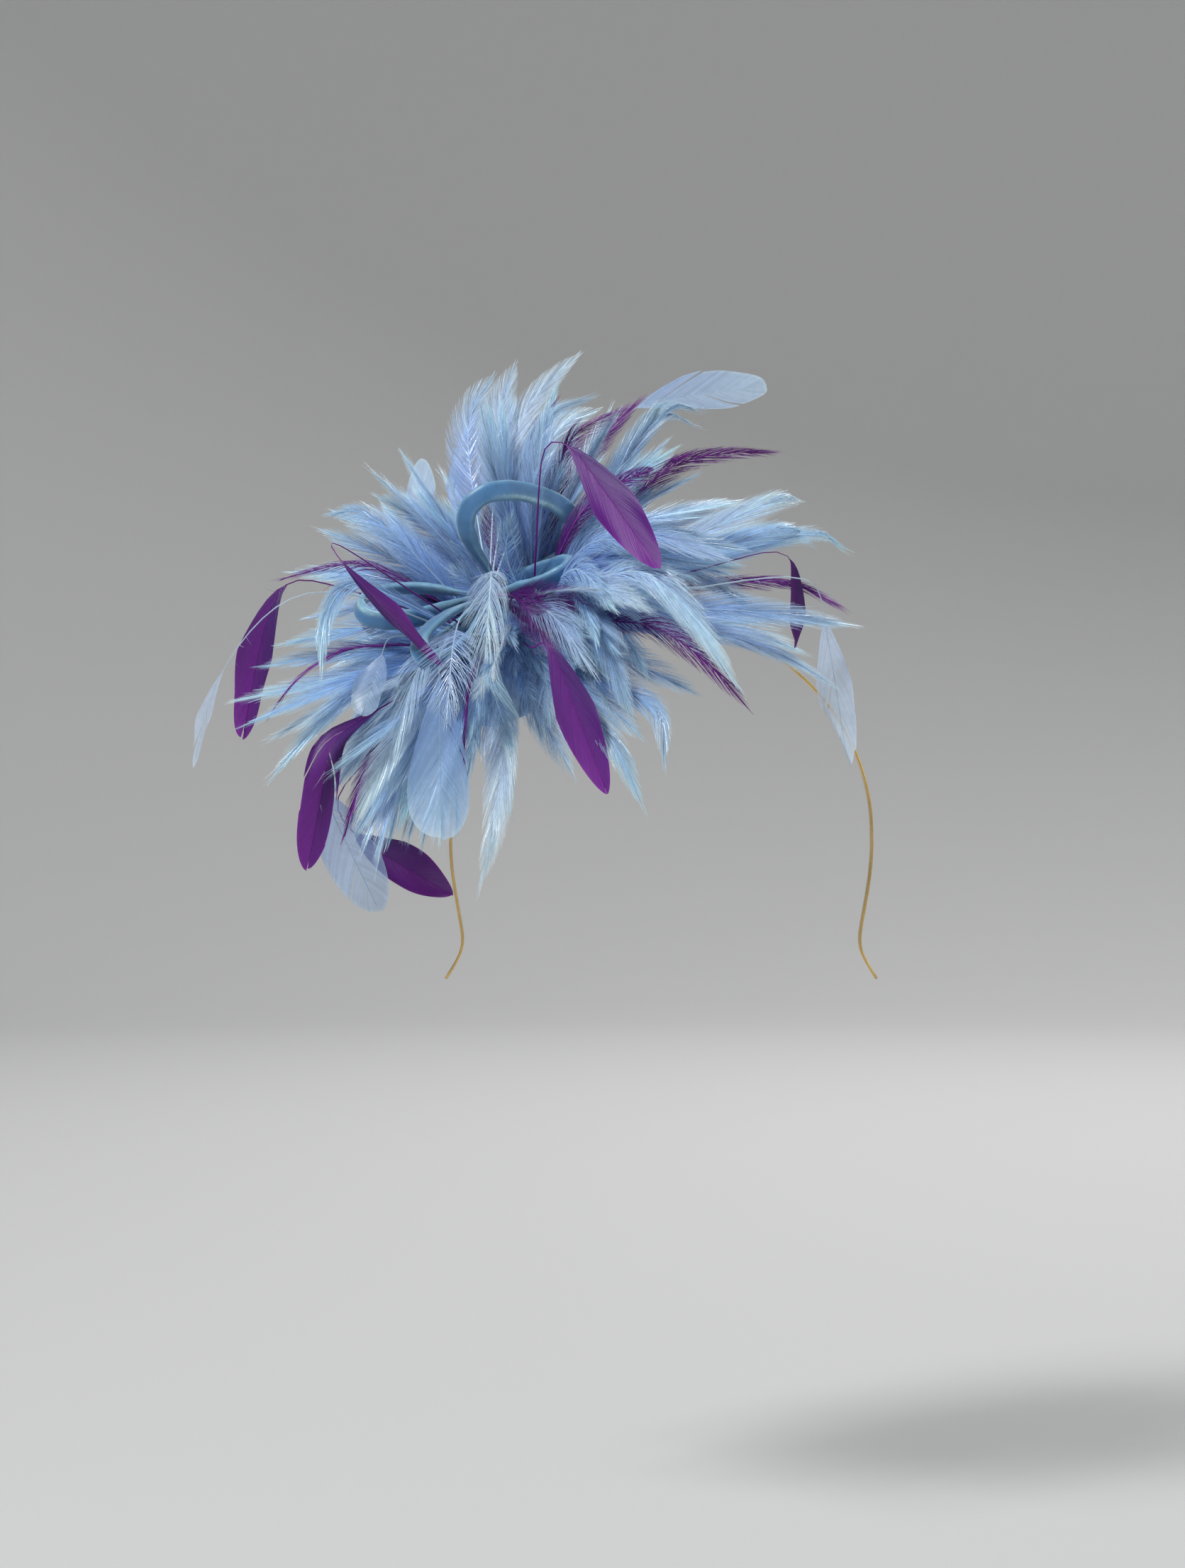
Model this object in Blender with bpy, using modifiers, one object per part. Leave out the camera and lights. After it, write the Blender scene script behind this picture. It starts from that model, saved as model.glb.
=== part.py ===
"""A feather fascinator: satin loops, hackles and leaf-tipped feathers on a slim metal headband.

The band stands upright in the XZ plane, as it is worn by someone who faces -Y. The origin is on the
underside of the band at its top, where it touches the crown. Tables are in millimetres, as a maker
would measure them, and the mm function turns them into Blender's metres.
"""

import math
from collections import namedtuple
from itertools import product

import bmesh
import bpy
from mathutils import Matrix, Vector
from mathutils.bvhtree import BVHTree

MM = 0.001
GAP = 0.3  # clearance between two pieces that touch

# Headband, a flat spring strip bent over the crown
BAND_RADIUS = 77.0
BAND_WIDTH = 5.0
BAND_THICKNESS = 1.0
BAND_FLAT_HALF = 3.0  # half of the short flat at the top
BAND_ARC_STEPS = 15
BAND_EDGE = 0.25
BAND_TIP_SHARE = 0.55  # width left at the tips
BAND_SIDE = [(77.0, -84.0), (76.2, -93.0), (74.8, -102.0), (73.4, -110.0), (72.8, -115.0),
             (73.2, -119.0), (74.6, -122.5), (76.6, -126.0), (78.8, -129.5)]

# The rounded hollow that the whole piece is shaped to fit over
FIT_CENTRE = Vector((0.0, 0.0, -BAND_RADIUS))
FIT_SEMI_AXES = Vector((78.0, 96.0, 78.0))
FIT_CLEARANCE = 1.03

# Dished base that rests on the band
CREST = Vector((-0.56, -0.27, 0.78)).normalized()
BASE_INNER_RADIUS = BAND_RADIUS + BAND_THICKNESS + GAP + 0.05
BASE_THICKNESS = 2.4
BASE_OUTER_RADIUS = BASE_INNER_RADIUS + BASE_THICKNESS
BASE_HALF_ANGLE = 21.0
BASE_RIM_STEPS = 3
BASE_ARC_STEPS = 4
TURN_STEPS = 20

# Bound stems that stand on the base: one in the middle and a ring of them round it
STEM_TOP = 15.0
STEM_HEAD_RADIUS = 4.8
STEM_RING_COUNT = 6
STEM_RING_RADIUS = 10.4
STEM_STEPS = 10
STEM_WAIST = 2.6
STEM_FLARE = [(3.0, 4.0), (4.4, 1.0), (4.4, 0.0), (0.0, 0.0)]
CORE_TOP = 29.0
CORE_HEAD_RADIUS = 6.2
STEM_FOOT = FIT_CENTRE + CREST * (BASE_OUTER_RADIUS + GAP)
HUB = STEM_FOOT + CREST * STEM_TOP
CORE = STEM_FOOT + CREST * CORE_TOP

# Feathers
FACE_OUT = Vector((-0.35, -0.75, 0.55)).normalized()  # the way that a flat vane faces
QUILL_WIDTH = 1.1
VANE_THICKNESS = 1.0
HACKLE_STEPS = 5
BARE_QUILL = 0.15  # share of a hackle's length before its blade starts
ROOT_DEPTH = 3.0  # how far a fused blade reaches into its stem
LEAF_QUILL_STEPS = 6
LEAF_VANE_STEPS = 6
FEATHER_CORNERS = [(0.5, 0.0), (0.0, 0.5), (-0.5, 0.0), (0.0, -0.5)]

# Flattened satin tube that the loops are bent from
SATIN_WIDTH = 7.2
SATIN_THICKNESS = 3.2
SATIN_CORNERS = [(0.5, 0.0), (0.32, 0.5), (-0.32, 0.5), (-0.5, 0.0), (-0.32, -0.5), (0.32, -0.5)]
LOOP_STEPS = 18
LOOP_HALF = [(0.0, 0.0), (0.12, 0.24), (0.32, 0.70), (0.57, 0.98), (0.82, 0.88), (0.97, 0.45)]
LOOP_ROOT_SPREAD = 3.4
LOOP_PINCH = 0.4  # the share of its size that a loop keeps where it is gathered and sewn
LOOP_PINCH_STEP = 0.2

Loop = namedtuple("Loop", "name stem end opens spread flat")
Leaf = namedtuple("Leaf", "name dye over neck tip width roll")
Hackle = namedtuple("Hackle", "name middle tip width roll")
Tier = namedtuple("Tier", "name count lift reach width")

# end is the far end of the loop, opens the way it spreads, and flat turns the tube about its own line
LOOPS = [
    Loop("satin_loop_top", "core", (-44, -44, 45), (1.0, 0.20, 0.30), 44, 20),
    Loop("satin_loop_left", "core", (-109, -36, 4), (0.0, 0.80, 0.60), 19, 60),
    Loop("satin_loop_right", "core", (-32, -52, 18), (0.2, 0.87, 0.46), 12, 60),
    Loop("satin_loop_front_left", "core", (-83, -76, -14), (-0.90, 0.0, 0.45), 13, 50),
    Loop("satin_loop_low_left", "core", (-92, -52, -28), (-0.20, 0.70, 0.30), 15, 50),
    Loop("satin_loop_low_right", "core", (-27, -74, -15), (0.10, -0.30, 1.0), 11, 60),
    Loop("satin_loop_far_right", "ring", (8, -24, 9), (0.0, -0.30, 1.0), 12, 60),
    Loop("satin_loop_crown", "core", (-5, 10, 48), (-0.6, 0.40, 0.9), 13, 60),
]

# over is the top of the stripped quill's arch, neck is where its vane starts
LEAVES = [
    Leaf("purple_leaf_front", "purple", (-42, -62, 59), (-34, -72, 61), (-3, -92, 17), 15, 0),
    Leaf("purple_leaf_left", "purple", (-115, -66, 27), (-111, -74, 19), (-76, -92, -17), 10, 62),
    Leaf("purple_leaf_brow", "purple", (-44, -88, -3), (-41, -94, -6), (-20, -104, -60), 13, 0),
    Leaf("purple_leaf_side", "purple", (-129, -30, 15), (-140, -28, 4), (-150, -25, -42), 12, 10),
    Leaf("purple_leaf_low", "purple", (-116, -52, -42), (-118, -48, -54), (-125, -42, -88), 12, 0),
    Leaf("purple_leaf_back", "purple", (-117, -8, -62), (-112, 0, -77), (-77, 14, -100), 14, 0),
    Leaf("purple_leaf_right", "purple", (40, -42, 25), (46, -43, 24), (46, -45, -10), 8, 75),
    Leaf("blue_leaf_crown", "blue", (-24, 0, 61), (-10, 10, 79), (39, 18, 87), 18, 0),
    Leaf("blue_leaf_far_left", "blue", (-122, -62, 10), (-153, -60, -17), (-164, -58, -52), 8, 25),
    Leaf("blue_leaf_far_right", "blue", (46, -58, 15), (56, -60, 1), (65, -62, -53), 12, 0),
    Leaf("blue_leaf_brow", "blue", (-75, -84, -7), (-77, -88, -20), (-76, -96, -75), 22, 0),
    Leaf("blue_leaf_low", "blue", (-119, -32, -48), (-121, -30, -60), (-101, -26, -104), 14, 0),
    Leaf("blue_leaf_back", "blue", (-86, -10, 35), (-87, 4, 44), (-87, 8, 60), 11, 0),
    Leaf("blue_leaf_spoon", "blue", (-93, -70, -6), (-97, -74, -12), (-104, -80, -34), 12, 0),
    Leaf("blue_leaf_top", "blue", (-75, -8, 45), (-72, 0, 56), (-68, 4, 76), 8, 0),
]

PURPLE_HACKLES = [
    Hackle("purple_hackle_crown", (-26, -45, 41), (12, -10, 61), 9, 30),
    Hackle("purple_hackle_far", (3, -15, 55), (43, -5, 62), 9, 30),
    Hackle("purple_hackle_left", (-105, -33, 20), (-138, -20, 14), 9, 30),
    Hackle("purple_hackle_side", (-115, -60, -12), (-139, -55, -35), 7, 30),
    Hackle("purple_hackle_back", (-34, -18, 62), (-10, -4, 78), 12, 0),
    Hackle("purple_hackle_brow", (0, -88, -5), (28, -86, -31), 12, 0),
    Hackle("purple_hackle_right", (35, -24, 19), (66, -20, 4), 8, 0),
    Hackle("purple_hackle_down", (-66, -88, -20), (-69, -92, -53), 9, 50),
    Hackle("purple_hackle_low", (-100, -56, -42), (-112, -54, -78), 8, 0),
]

BLUE_HACKLES = [
    Hackle("rise_1", (-59, -20, 56), (-53, -5, 92), 18, 0),
    Hackle("rise_2", (-50, -22, 62), (-29, -10, 96), 11, 0),
    Hackle("rise_3", (-38, -30, 53), (-23, -20, 74), 12, 0),
    Hackle("rise_4", (-24, -10, 58), (-5, 5, 79), 11, 0),
    Hackle("rise_5", (-9, -15, 62), (13, -5, 74), 10, 0),
    Hackle("rise_6", (-4, -25, 50), (18, -15, 64), 12, 0),
    Hackle("rise_7", (-66, -15, 49), (-72, 5, 82), 14, 0),
    Hackle("rise_8", (-92, -10, 34), (-123, 0, 46), 14, 0),
    Hackle("right_1", (9, -45, 36), (51, 10, 44), 18, 0),
    Hackle("right_2", (5, -25, 48), (38, 0, 51), 18, 0),
    Hackle("right_3", (12, -50, 30), (55, -10, 26), 16, 0),
    Hackle("right_4", (22, -40, 22), (70, -5, 20), 14, 0),
    Hackle("right_5", (25, -50, 14), (67, -25, 9), 14, 0),
    Hackle("right_6", (10, -30, 14), (45, -20, -2), 18, 0),
    Hackle("right_7", (15, -55, 6), (52, -60, -16), 10, 0),
    Hackle("front_1", (-7, -88, 15), (24, -90, -23), 12, 0),
    Hackle("front_2", (-12, -96, -20), (-5, -102, -43), 13, 0),
    Hackle("front_3", (-14, -92, -12), (8, -100, -42), 12, 0),
    Hackle("front_4", (-60, -96, 0), (-57, -106, -25), 16, 0),
    Hackle("front_5", (-69, -94, -16), (-59, -102, -41), 12, 0),
    Hackle("front_6", (-52, -94, -23), (-64, -100, -88), 16, 0),
    Hackle("front_7", (-42, -96, -20), (-38, -104, -55), 12, 0),
    Hackle("low_1", (-90, -64, -36), (-108, -60, -73), 14, 0),
    Hackle("low_2", (-86, -56, -32), (-94, -52, -72), 10, 0),
    Hackle("low_3", (-100, -72, -20), (-126, -80, -49), 10, 0),
    Hackle("low_4", (-108, -45, -28), (-137, -40, -45), 10, 0),
    Hackle("left_1", (-118, -68, -10), (-151, -72, -31), 11, 0),
    Hackle("left_2", (-118, -50, -8), (-154, -50, -24), 10, 0),
    Hackle("left_3", (-112, -50, -24), (-143, -50, -53), 11, 0),
    Hackle("left_4", (-112, -58, 0), (-141, -60, -14), 12, 0),
    Hackle("left_5", (-107, -72, -2), (-120, -78, -27), 9, 0),
    Hackle("left_6", (-102, -45, 10), (-138, -45, -4), 12, 0),
    Hackle("left_7", (-98, -16, 28), (-126, -8, 37), 14, 0),
    Hackle("left_8", (-94, -24, 22), (-119, -14, 29), 13, 0),
    Hackle("left_9", (-100, -6, 16), (-134, -4, 18), 13, 0),
]

# Shorter hackles that fill each bunch, fanned evenly. lift is their rise above the ring, in degrees
TIERS = [
    Tier("low", 3, -8.0, 76.0, 15.0),
    Tier("middle", 2, 24.0, 66.0, 14.0),
    Tier("high", 1, 55.0, 54.0, 13.0),
]
TIER_DROOP = 0.35  # how far a filling hackle's tip sinks, as a share of its reach

# Nudges that a feather may take to lie clear of its neighbours, least first
TURNS = [0, 4, -4, 8, -8, 12, -12, 16, -16]  # degrees about the crest
LIFTS = [0, 5, -5, 10, -10, 15, -15]  # along the crest
DEPTHS = [0, 4, -4, 8, -8, 12, -12, 16, -16]  # towards the back or the front
RISES = [0, 4, -4, 8, -8]  # up or down


def mm(point):
    return Vector(point) * MM


def material(name, colour, roughness, metallic=0.0):
    made = bpy.data.materials.new(name)
    made.use_nodes = True
    shader = made.node_tree.nodes["Principled BSDF"]
    shader.inputs["Base Color"].default_value = (*colour, 1.0)
    shader.inputs["Roughness"].default_value = roughness
    shader.inputs["Metallic"].default_value = metallic
    made.diffuse_color = (*colour, 1.0)
    return made


def add_object(name, mesh, dye, collection):
    made = bpy.data.objects.new(name, mesh)
    mesh.materials.append(dye)
    collection.objects.link(made)
    return made


def smooth_line(points, steps):
    """Points on a Catmull-Rom curve through the given ones, the same share of its length apart."""
    padded = [points[0] * 2 - points[1], *points, points[-1] * 2 - points[-2]]
    dense = []
    for a, b, c, d in zip(padded, padded[1:], padded[2:], padded[3:]):
        for i in range(16):
            t = i / 16
            dense.append(0.5 * (2 * b + (c - a) * t + (2 * a - 5 * b + 4 * c - d) * t * t
                                + (3 * b - a - 3 * c + d) * t ** 3))
    dense.append(points[-1])
    reached = [0.0]
    for a, b in zip(dense, dense[1:]):
        reached.append(reached[-1] + (b - a).length)
    line, at = [], 0
    for i in range(steps + 1):
        wanted = reached[-1] * i / steps
        while at < len(dense) - 2 and reached[at + 1] < wanted:
            at += 1
        share = (wanted - reached[at]) / (reached[at + 1] - reached[at])
        line.append(dense[at].lerp(dense[at + 1], min(1.0, share)))
    return line


def clear_of_fit(point):
    """The point itself, or the nearest place outside the hollow where it would sink in."""
    offset = point - FIT_CENTRE
    scaled = Vector(o / a for o, a in zip(offset, FIT_SEMI_AXES))
    if scaled.length >= FIT_CLEARANCE:
        return point
    scaled = scaled.normalized() * FIT_CLEARANCE
    return FIT_CENTRE + Vector(s * a for s, a in zip(scaled, FIT_SEMI_AXES))


def frames(line, face, roll, middle):
    """(point, width direction, thickness direction) along a line.

    The surface looks along face at the middle place, turned by roll degrees, and keeps from
    twisting both ways from there.
    """
    last = len(line) - 1
    ways = [(line[min(i + 1, last)] - line[max(i - 1, 0)]).normalized() for i in range(last + 1)]
    across = Matrix.Rotation(math.radians(roll), 3, ways[middle]) @ ways[middle].cross(face)
    widths = {middle: across.normalized()}
    for i in [*range(middle + 1, last + 1), *range(middle - 1, -1, -1)]:
        before = widths[i - 1 if i > middle else i + 1]
        widths[i] = (before - ways[i] * before.dot(ways[i])).normalized()
    return [(line[i], widths[i], widths[i].cross(ways[i])) for i in range(last + 1)]


def section(frame, corners, width, thickness):
    point, across, up = frame
    return [point + across * (width * u) + up * (thickness * v) for u, v in corners]


def surface(sections):
    """Points and triangles of the sides between sections with the same number of points."""
    count = len(sections[0])
    points = [p for ring in sections for p in ring]
    faces = []
    for low in range(0, len(points) - count, count):
        high = low + count
        for i in range(count):
            j = (i + 1) % count
            faces += [(low + i, low + j, high + j), (low + i, high + j, high + i)]
    return points, faces


def loft(name, sections):
    """A closed mesh through the sections."""
    build = bmesh.new()
    points, faces = surface(sections)
    corners = [build.verts.new(mm(p)) for p in points]
    for face in faces:
        build.faces.new([corners[i] for i in face])
    count = len(sections[0])
    build.faces.new(corners[:count])
    build.faces.new(corners[-count:])
    bmesh.ops.recalc_face_normals(build, faces=build.faces)
    mesh = bpy.data.meshes.new(name)
    build.to_mesh(mesh)
    build.free()
    return mesh


def ring_axes():
    """Two directions across the crest: one towards the top of the piece, one to its side."""
    side = CREST.cross(Vector((0.0, 0.0, 1.0))).normalized()
    return side.cross(CREST).normalized(), side


def stem_heads():
    """The middles of the rounded heads of the ring of stems."""
    up, side = ring_axes()
    heads = []
    for i in range(STEM_RING_COUNT):
        turn = math.tau * i / STEM_RING_COUNT
        heads.append(HUB + (up * math.cos(turn) + side * math.sin(turn)) * STEM_RING_RADIUS)
    return heads


def nearest_stem(point):
    """The stem of the ring that leans most towards a point, counted from 1."""
    away = Vector(point) - HUB
    lean = [(head - HUB).dot(away) for head in stem_heads()]
    return 1 + lean.index(max(lean))


def seat(target):
    """Where a quill that aims at the target leaves its stem."""
    head = stem_heads()[nearest_stem(target) - 1]
    return head + (Vector(target) - head).normalized() * (STEM_HEAD_RADIUS + GAP)


def blade_outline(share):
    """How wide a hackle is along its length, as a share of its greatest width."""
    beyond = max(0.0, (share - BARE_QUILL) / (1 - BARE_QUILL))
    return max(0.1, math.sin(math.pi * beyond ** 1.1) ** 0.8)


def hackle_sections(row, swell=0.0):
    """A pointed blade on a short bare quill. swell makes it thicker all over, for a test."""
    middle, tip = Vector(row.middle), Vector(row.tip)
    root = seat(middle)
    line = [root, *(clear_of_fit(p) for p in smooth_line([root, middle, tip], HACKLE_STEPS)[1:])]
    made = []
    for i, frame in enumerate(frames(line, FACE_OUT, row.roll, HACKLE_STEPS // 2)):
        share = i / HACKLE_STEPS
        width = row.width * blade_outline(share)
        thin = VANE_THICKNESS * (1.25 - 0.6 * share)
        made.append(section(frame, FEATHER_CORNERS, width + swell, thin + swell))
    return made


def leaf_sections(row, swell=0.0):
    """A stripped quill that arches out of its stem, and the rounded vane that is left at its end."""
    over, neck, tip = (Vector(p) for p in (row.over, row.neck, row.tip))
    root = seat(over)
    fine = 60
    line = smooth_line([root, over, neck, tip], fine)
    start = min(range(fine), key=lambda i: (line[i] - neck).length)
    chosen = [round(start * i / LEAF_QUILL_STEPS) for i in range(LEAF_QUILL_STEPS)]
    chosen += [round(start + (fine - start) * i / LEAF_VANE_STEPS)
               for i in range(LEAF_VANE_STEPS + 1)]
    all_frames = frames(line, FACE_OUT, row.roll, (start + fine) // 2)
    made = []
    for i in chosen:
        width = thickness = QUILL_WIDTH
        if i > start:
            share = (i - start) / (fine - start)
            width += row.width * math.sin(math.pi * min(0.93, share) ** 0.8) ** 0.75
            thickness = VANE_THICKNESS
        made.append(section(all_frames[i], FEATHER_CORNERS, width + swell, thickness + swell))
    return made


def loop_sections(row):
    """A satin tube that leaves its stem, turns at its far end and comes back beside itself."""
    end, opens = Vector(row.end), Vector(row.opens)
    if row.stem == "core":
        along = (end - CORE).normalized()
        root = CORE + along * (CORE_HEAD_RADIUS + GAP)
    else:
        root = seat(end)
        along = (end - root).normalized()
    side = (opens - along * opens.dot(along)).normalized()
    length = (end - root).length - SATIN_THICKNESS / 2
    start = LOOP_ROOT_SPREAD / row.spread
    half = [(a, start + (1 - start) * s) for a, s in LOOP_HALF]
    half[-1] = LOOP_HALF[-1]
    outline = [*half, (1.0, 0.0), *((a, -s) for a, s in reversed(half))]
    points = [root + along * (length * a) + side * (row.spread * s / 2) for a, s in outline]
    line = smooth_line(points, LOOP_STEPS)
    made = []
    for i, frame in enumerate(frames(line, along.cross(side), row.flat, 0)):
        size = min(1.0, LOOP_PINCH + LOOP_PINCH_STEP * min(i, LOOP_STEPS - i))
        made.append(section(frame, SATIN_CORNERS, SATIN_WIDTH * size, SATIN_THICKNESS * size))
    return made


def tree_of(shapes):
    """One search tree of many lofted shapes."""
    points, faces = [], []
    for sections in shapes:
        more, sides = surface(sections)
        faces += [tuple(i + len(points) for i in face) for face in sides]
        points += more
    return BVHTree.FromPolygons(points, faces)


def blade_nudges(row, bunch):
    """The same blade turned about the crest and lifted along it, where it stays in its bunch."""
    for depth, degrees, lift in product(DEPTHS[:3], TURNS, LIFTS):
        turn = Matrix.Rotation(math.radians(degrees), 3, CREST)
        middle, tip = (HUB + turn @ (Vector(p) - HUB) for p in (row.middle, row.tip))
        middle += CREST * lift + Vector((0, 2 * depth, 0))
        moved = row._replace(middle=middle, tip=tip + CREST * (lift / 2))
        if nearest_stem(moved.middle) == bunch:
            yield moved


def fused_root(sections, head):
    """The same blade with one more section, inside its stem."""
    inward = (head - sections[0][0]).normalized() * ROOT_DEPTH
    return [[p + inward for p in sections[0]], *sections]


def hackle_nudges(row):
    """The same hackle with its middle and its tip moved in depth, and its middle up or down."""
    for rise, middle, tip in product(RISES, DEPTHS, DEPTHS):
        yield row._replace(middle=Vector(row.middle) + Vector((0, middle, rise)),
                           tip=Vector(row.tip) + Vector((0, tip, 0)))


def leaf_nudges(row):
    """The same leaf with its quill and its vane moved in depth, and its quill up or down."""
    for rise, over, vane in product(RISES, DEPTHS, DEPTHS):
        yield row._replace(over=Vector(row.over) + Vector((0, over, rise)),
                           neck=Vector(row.neck) + Vector((0, vane, 0)),
                           tip=Vector(row.tip) + Vector((0, vane, 0)))


def settled(nudges, sections_of, others):
    """The first of the nudged rows that lies clear of the other pieces, or none where all cross."""
    for moved in nudges:
        if not tree_of([sections_of(moved, 2 * GAP)]).overlap(others):
            return moved


def headband(collection, dye):
    """Half the strip as a row of faces on its inner side, mirrored, thickened and eased."""
    first = math.asin(BAND_FLAT_HALF / BAND_RADIUS)
    path = [(0.0, 0.0)]
    for i in range(BAND_ARC_STEPS + 1):
        turn = first + (math.pi / 2 - first) * i / BAND_ARC_STEPS
        path.append((BAND_RADIUS * math.sin(turn), BAND_RADIUS * (math.cos(turn) - math.cos(first))))
    path += BAND_SIDE
    build = bmesh.new()
    edges = []
    for i, (x, z) in enumerate(path):
        half = BAND_WIDTH / 2 * (1.0 if i < len(path) - 1 else BAND_TIP_SHARE)
        edges.append([build.verts.new(mm((x, y, z))) for y in (-half, half)])
    for (a, b), (c, d) in zip(edges, edges[1:]):
        build.faces.new((a, c, d, b))
    mesh = bpy.data.meshes.new("headband")
    build.to_mesh(mesh)
    build.free()
    if mesh.polygons[0].normal.z < 0:
        mesh.flip_normals()
    band = add_object("headband", mesh, dye, collection)
    mirror = band.modifiers.new("Mirror", "MIRROR")
    mirror.merge_threshold = 0.00005
    solidify = band.modifiers.new("Solidify", "SOLIDIFY")
    solidify.thickness = BAND_THICKNESS * MM
    solidify.offset = 1.0
    solidify.use_even_offset = True
    bevel = band.modifiers.new("Bevel", "BEVEL")
    bevel.width = BAND_EDGE * MM
    bevel.segments = 1
    bevel.limit_method = "ANGLE"
    bevel.angle_limit = math.radians(50)


def turned_solid(name, profile, steps, place, dye, collection):
    """A profile of (radius, height) from the outer side's top down, turned about the crest."""
    mesh = bpy.data.meshes.new(name)
    points = [mm((r, 0.0, h)) for r, h in profile]
    mesh.from_pydata(points, [(i, i + 1) for i in range(len(points) - 1)], [])
    made = add_object(name, mesh, dye, collection)
    screw = made.modifiers.new("Screw", "SCREW")
    screw.steps = screw.render_steps = steps
    screw.use_merge_vertices = True
    screw.merge_threshold = 0.00001
    made.rotation_mode = "QUATERNION"
    made.rotation_quaternion = CREST.to_track_quat("Z", "Y")
    made.location = mm(place)
    return made


def base_pad(collection, dye):
    """A dished disc that nests on the band."""
    rim = BASE_THICKNESS / 2
    middle = BASE_INNER_RADIUS + rim
    edge = math.radians(BASE_HALF_ANGLE)
    turns = [edge * i / BASE_ARC_STEPS for i in range(BASE_ARC_STEPS + 1)]
    profile = [(BASE_OUTER_RADIUS * math.sin(t), BASE_OUTER_RADIUS * math.cos(t)) for t in turns]
    for i in range(1, BASE_RIM_STEPS):
        turn = edge + math.pi * i / BASE_RIM_STEPS
        profile.append((middle * math.sin(edge) + rim * math.sin(turn),
                        middle * math.cos(edge) + rim * math.cos(turn)))
    profile += [(BASE_INNER_RADIUS * math.sin(t), BASE_INNER_RADIUS * math.cos(t))
                for t in reversed(turns)]
    turned_solid("base_pad", profile, TURN_STEPS, FIT_CENTRE, dye, collection)


def stem_profile(radius, top):
    """(radius, height) down the outside of a stem: its rounded head, its waist and its foot."""
    turns = [math.radians(135.0 * i / 3) for i in range(4)]
    rounded = [(radius * math.sin(t), top + radius * math.cos(t)) for t in turns]
    return [*rounded, (STEM_WAIST, top - 1.3 * radius), *STEM_FLARE]


def stem(name, head, radius, top, dye, collection):
    """A bunch of bound quills: a flared foot on the base, a waist and a rounded head."""
    profile = stem_profile(radius, top)
    return turned_solid(name, profile, STEM_STEPS, head - CREST * top, dye, collection)


def stem_sections(head, radius, top):
    """The same stem as rings of points, for an overlap test."""
    up, side = ring_axes()
    made = []
    for ring, height in stem_profile(radius, top)[1:-1]:
        middle = head + CREST * (height - top)
        turns = [math.tau * i / STEM_STEPS for i in range(STEM_STEPS)]
        made.append([middle + (up * math.cos(t) + side * math.sin(t)) * ring for t in turns])
    return made


def filling_hackles(bunch):
    """Rows for the shorter hackles of one bunch, fanned about the crest."""
    up, side = ring_axes()
    rows = []
    for tier in TIERS:
        for i in range(tier.count):
            share = (i + 0.5) / tier.count - 0.5
            turn = math.tau * (bunch - 1 + share) / STEM_RING_COUNT
            lift = math.radians(tier.lift)
            level = up * math.cos(turn) + side * math.sin(turn)
            way = level * math.cos(lift) + CREST * math.sin(lift)
            middle = HUB + way * (tier.reach * 0.55)
            tip = HUB + way * tier.reach - CREST * (tier.reach * TIER_DROOP * math.cos(lift) ** 2)
            rows.append(Hackle(f"{tier.name}_{bunch}_{i + 1}", middle, tip, tier.width, 0))
    return rows


def keep_outer_surface(obj):
    """The modifiers' result as the object's own mesh, without voids shut in between its blades."""
    graph = bpy.context.evaluated_depsgraph_get()
    mesh = bpy.data.meshes.new_from_object(obj.evaluated_get(graph))
    obj.modifiers.clear()
    obj.data = mesh
    build = bmesh.new()
    build.from_mesh(mesh)
    loose, bodies = set(build.verts), []
    while loose:
        body, edge = set(), {loose.pop()}
        while edge:
            body |= edge
            edge = {e.other_vert(v) for v in edge for e in v.link_edges} - body
        loose -= body
        bodies.append(body)
    bodies.sort(key=len)
    for body in bodies[:-1]:
        bmesh.ops.delete(build, geom=list(body), context="VERTS")
    build.to_mesh(mesh)
    build.free()


def hackle_bunch(bunch, rows, placed, dye, collection):
    """A stem with its blades fused to it. Returns the shapes that later pieces stay clear of."""
    blades = bpy.data.collections.new(f"blades_{bunch}")
    bpy.context.scene.collection.children.link(blades)
    head = stem_heads()[bunch - 1]
    own = stem_sections(head, STEM_HEAD_RADIUS, STEM_TOP)
    others = tree_of([sections for sections in placed if sections != own])
    shapes = []
    for row in rows:
        moved = settled(blade_nudges(row, bunch), hackle_sections, others)
        if moved is None:
            continue
        shapes.append(hackle_sections(moved))
        mesh = loft(row.name, fused_root(shapes[-1], head))
        blade = add_object(row.name, mesh, dye, blades)
        blade.hide_render = True
        blade.display_type = "WIRE"
    made = stem(f"blue_hackles_{bunch}", head, STEM_HEAD_RADIUS, STEM_TOP, dye, collection)
    union = made.modifiers.new("Blades", "BOOLEAN")
    union.operation = "UNION"
    union.operand_type = "COLLECTION"
    union.collection = blades
    union.solver = "EXACT"
    keep_outer_surface(made)
    return shapes


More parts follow.
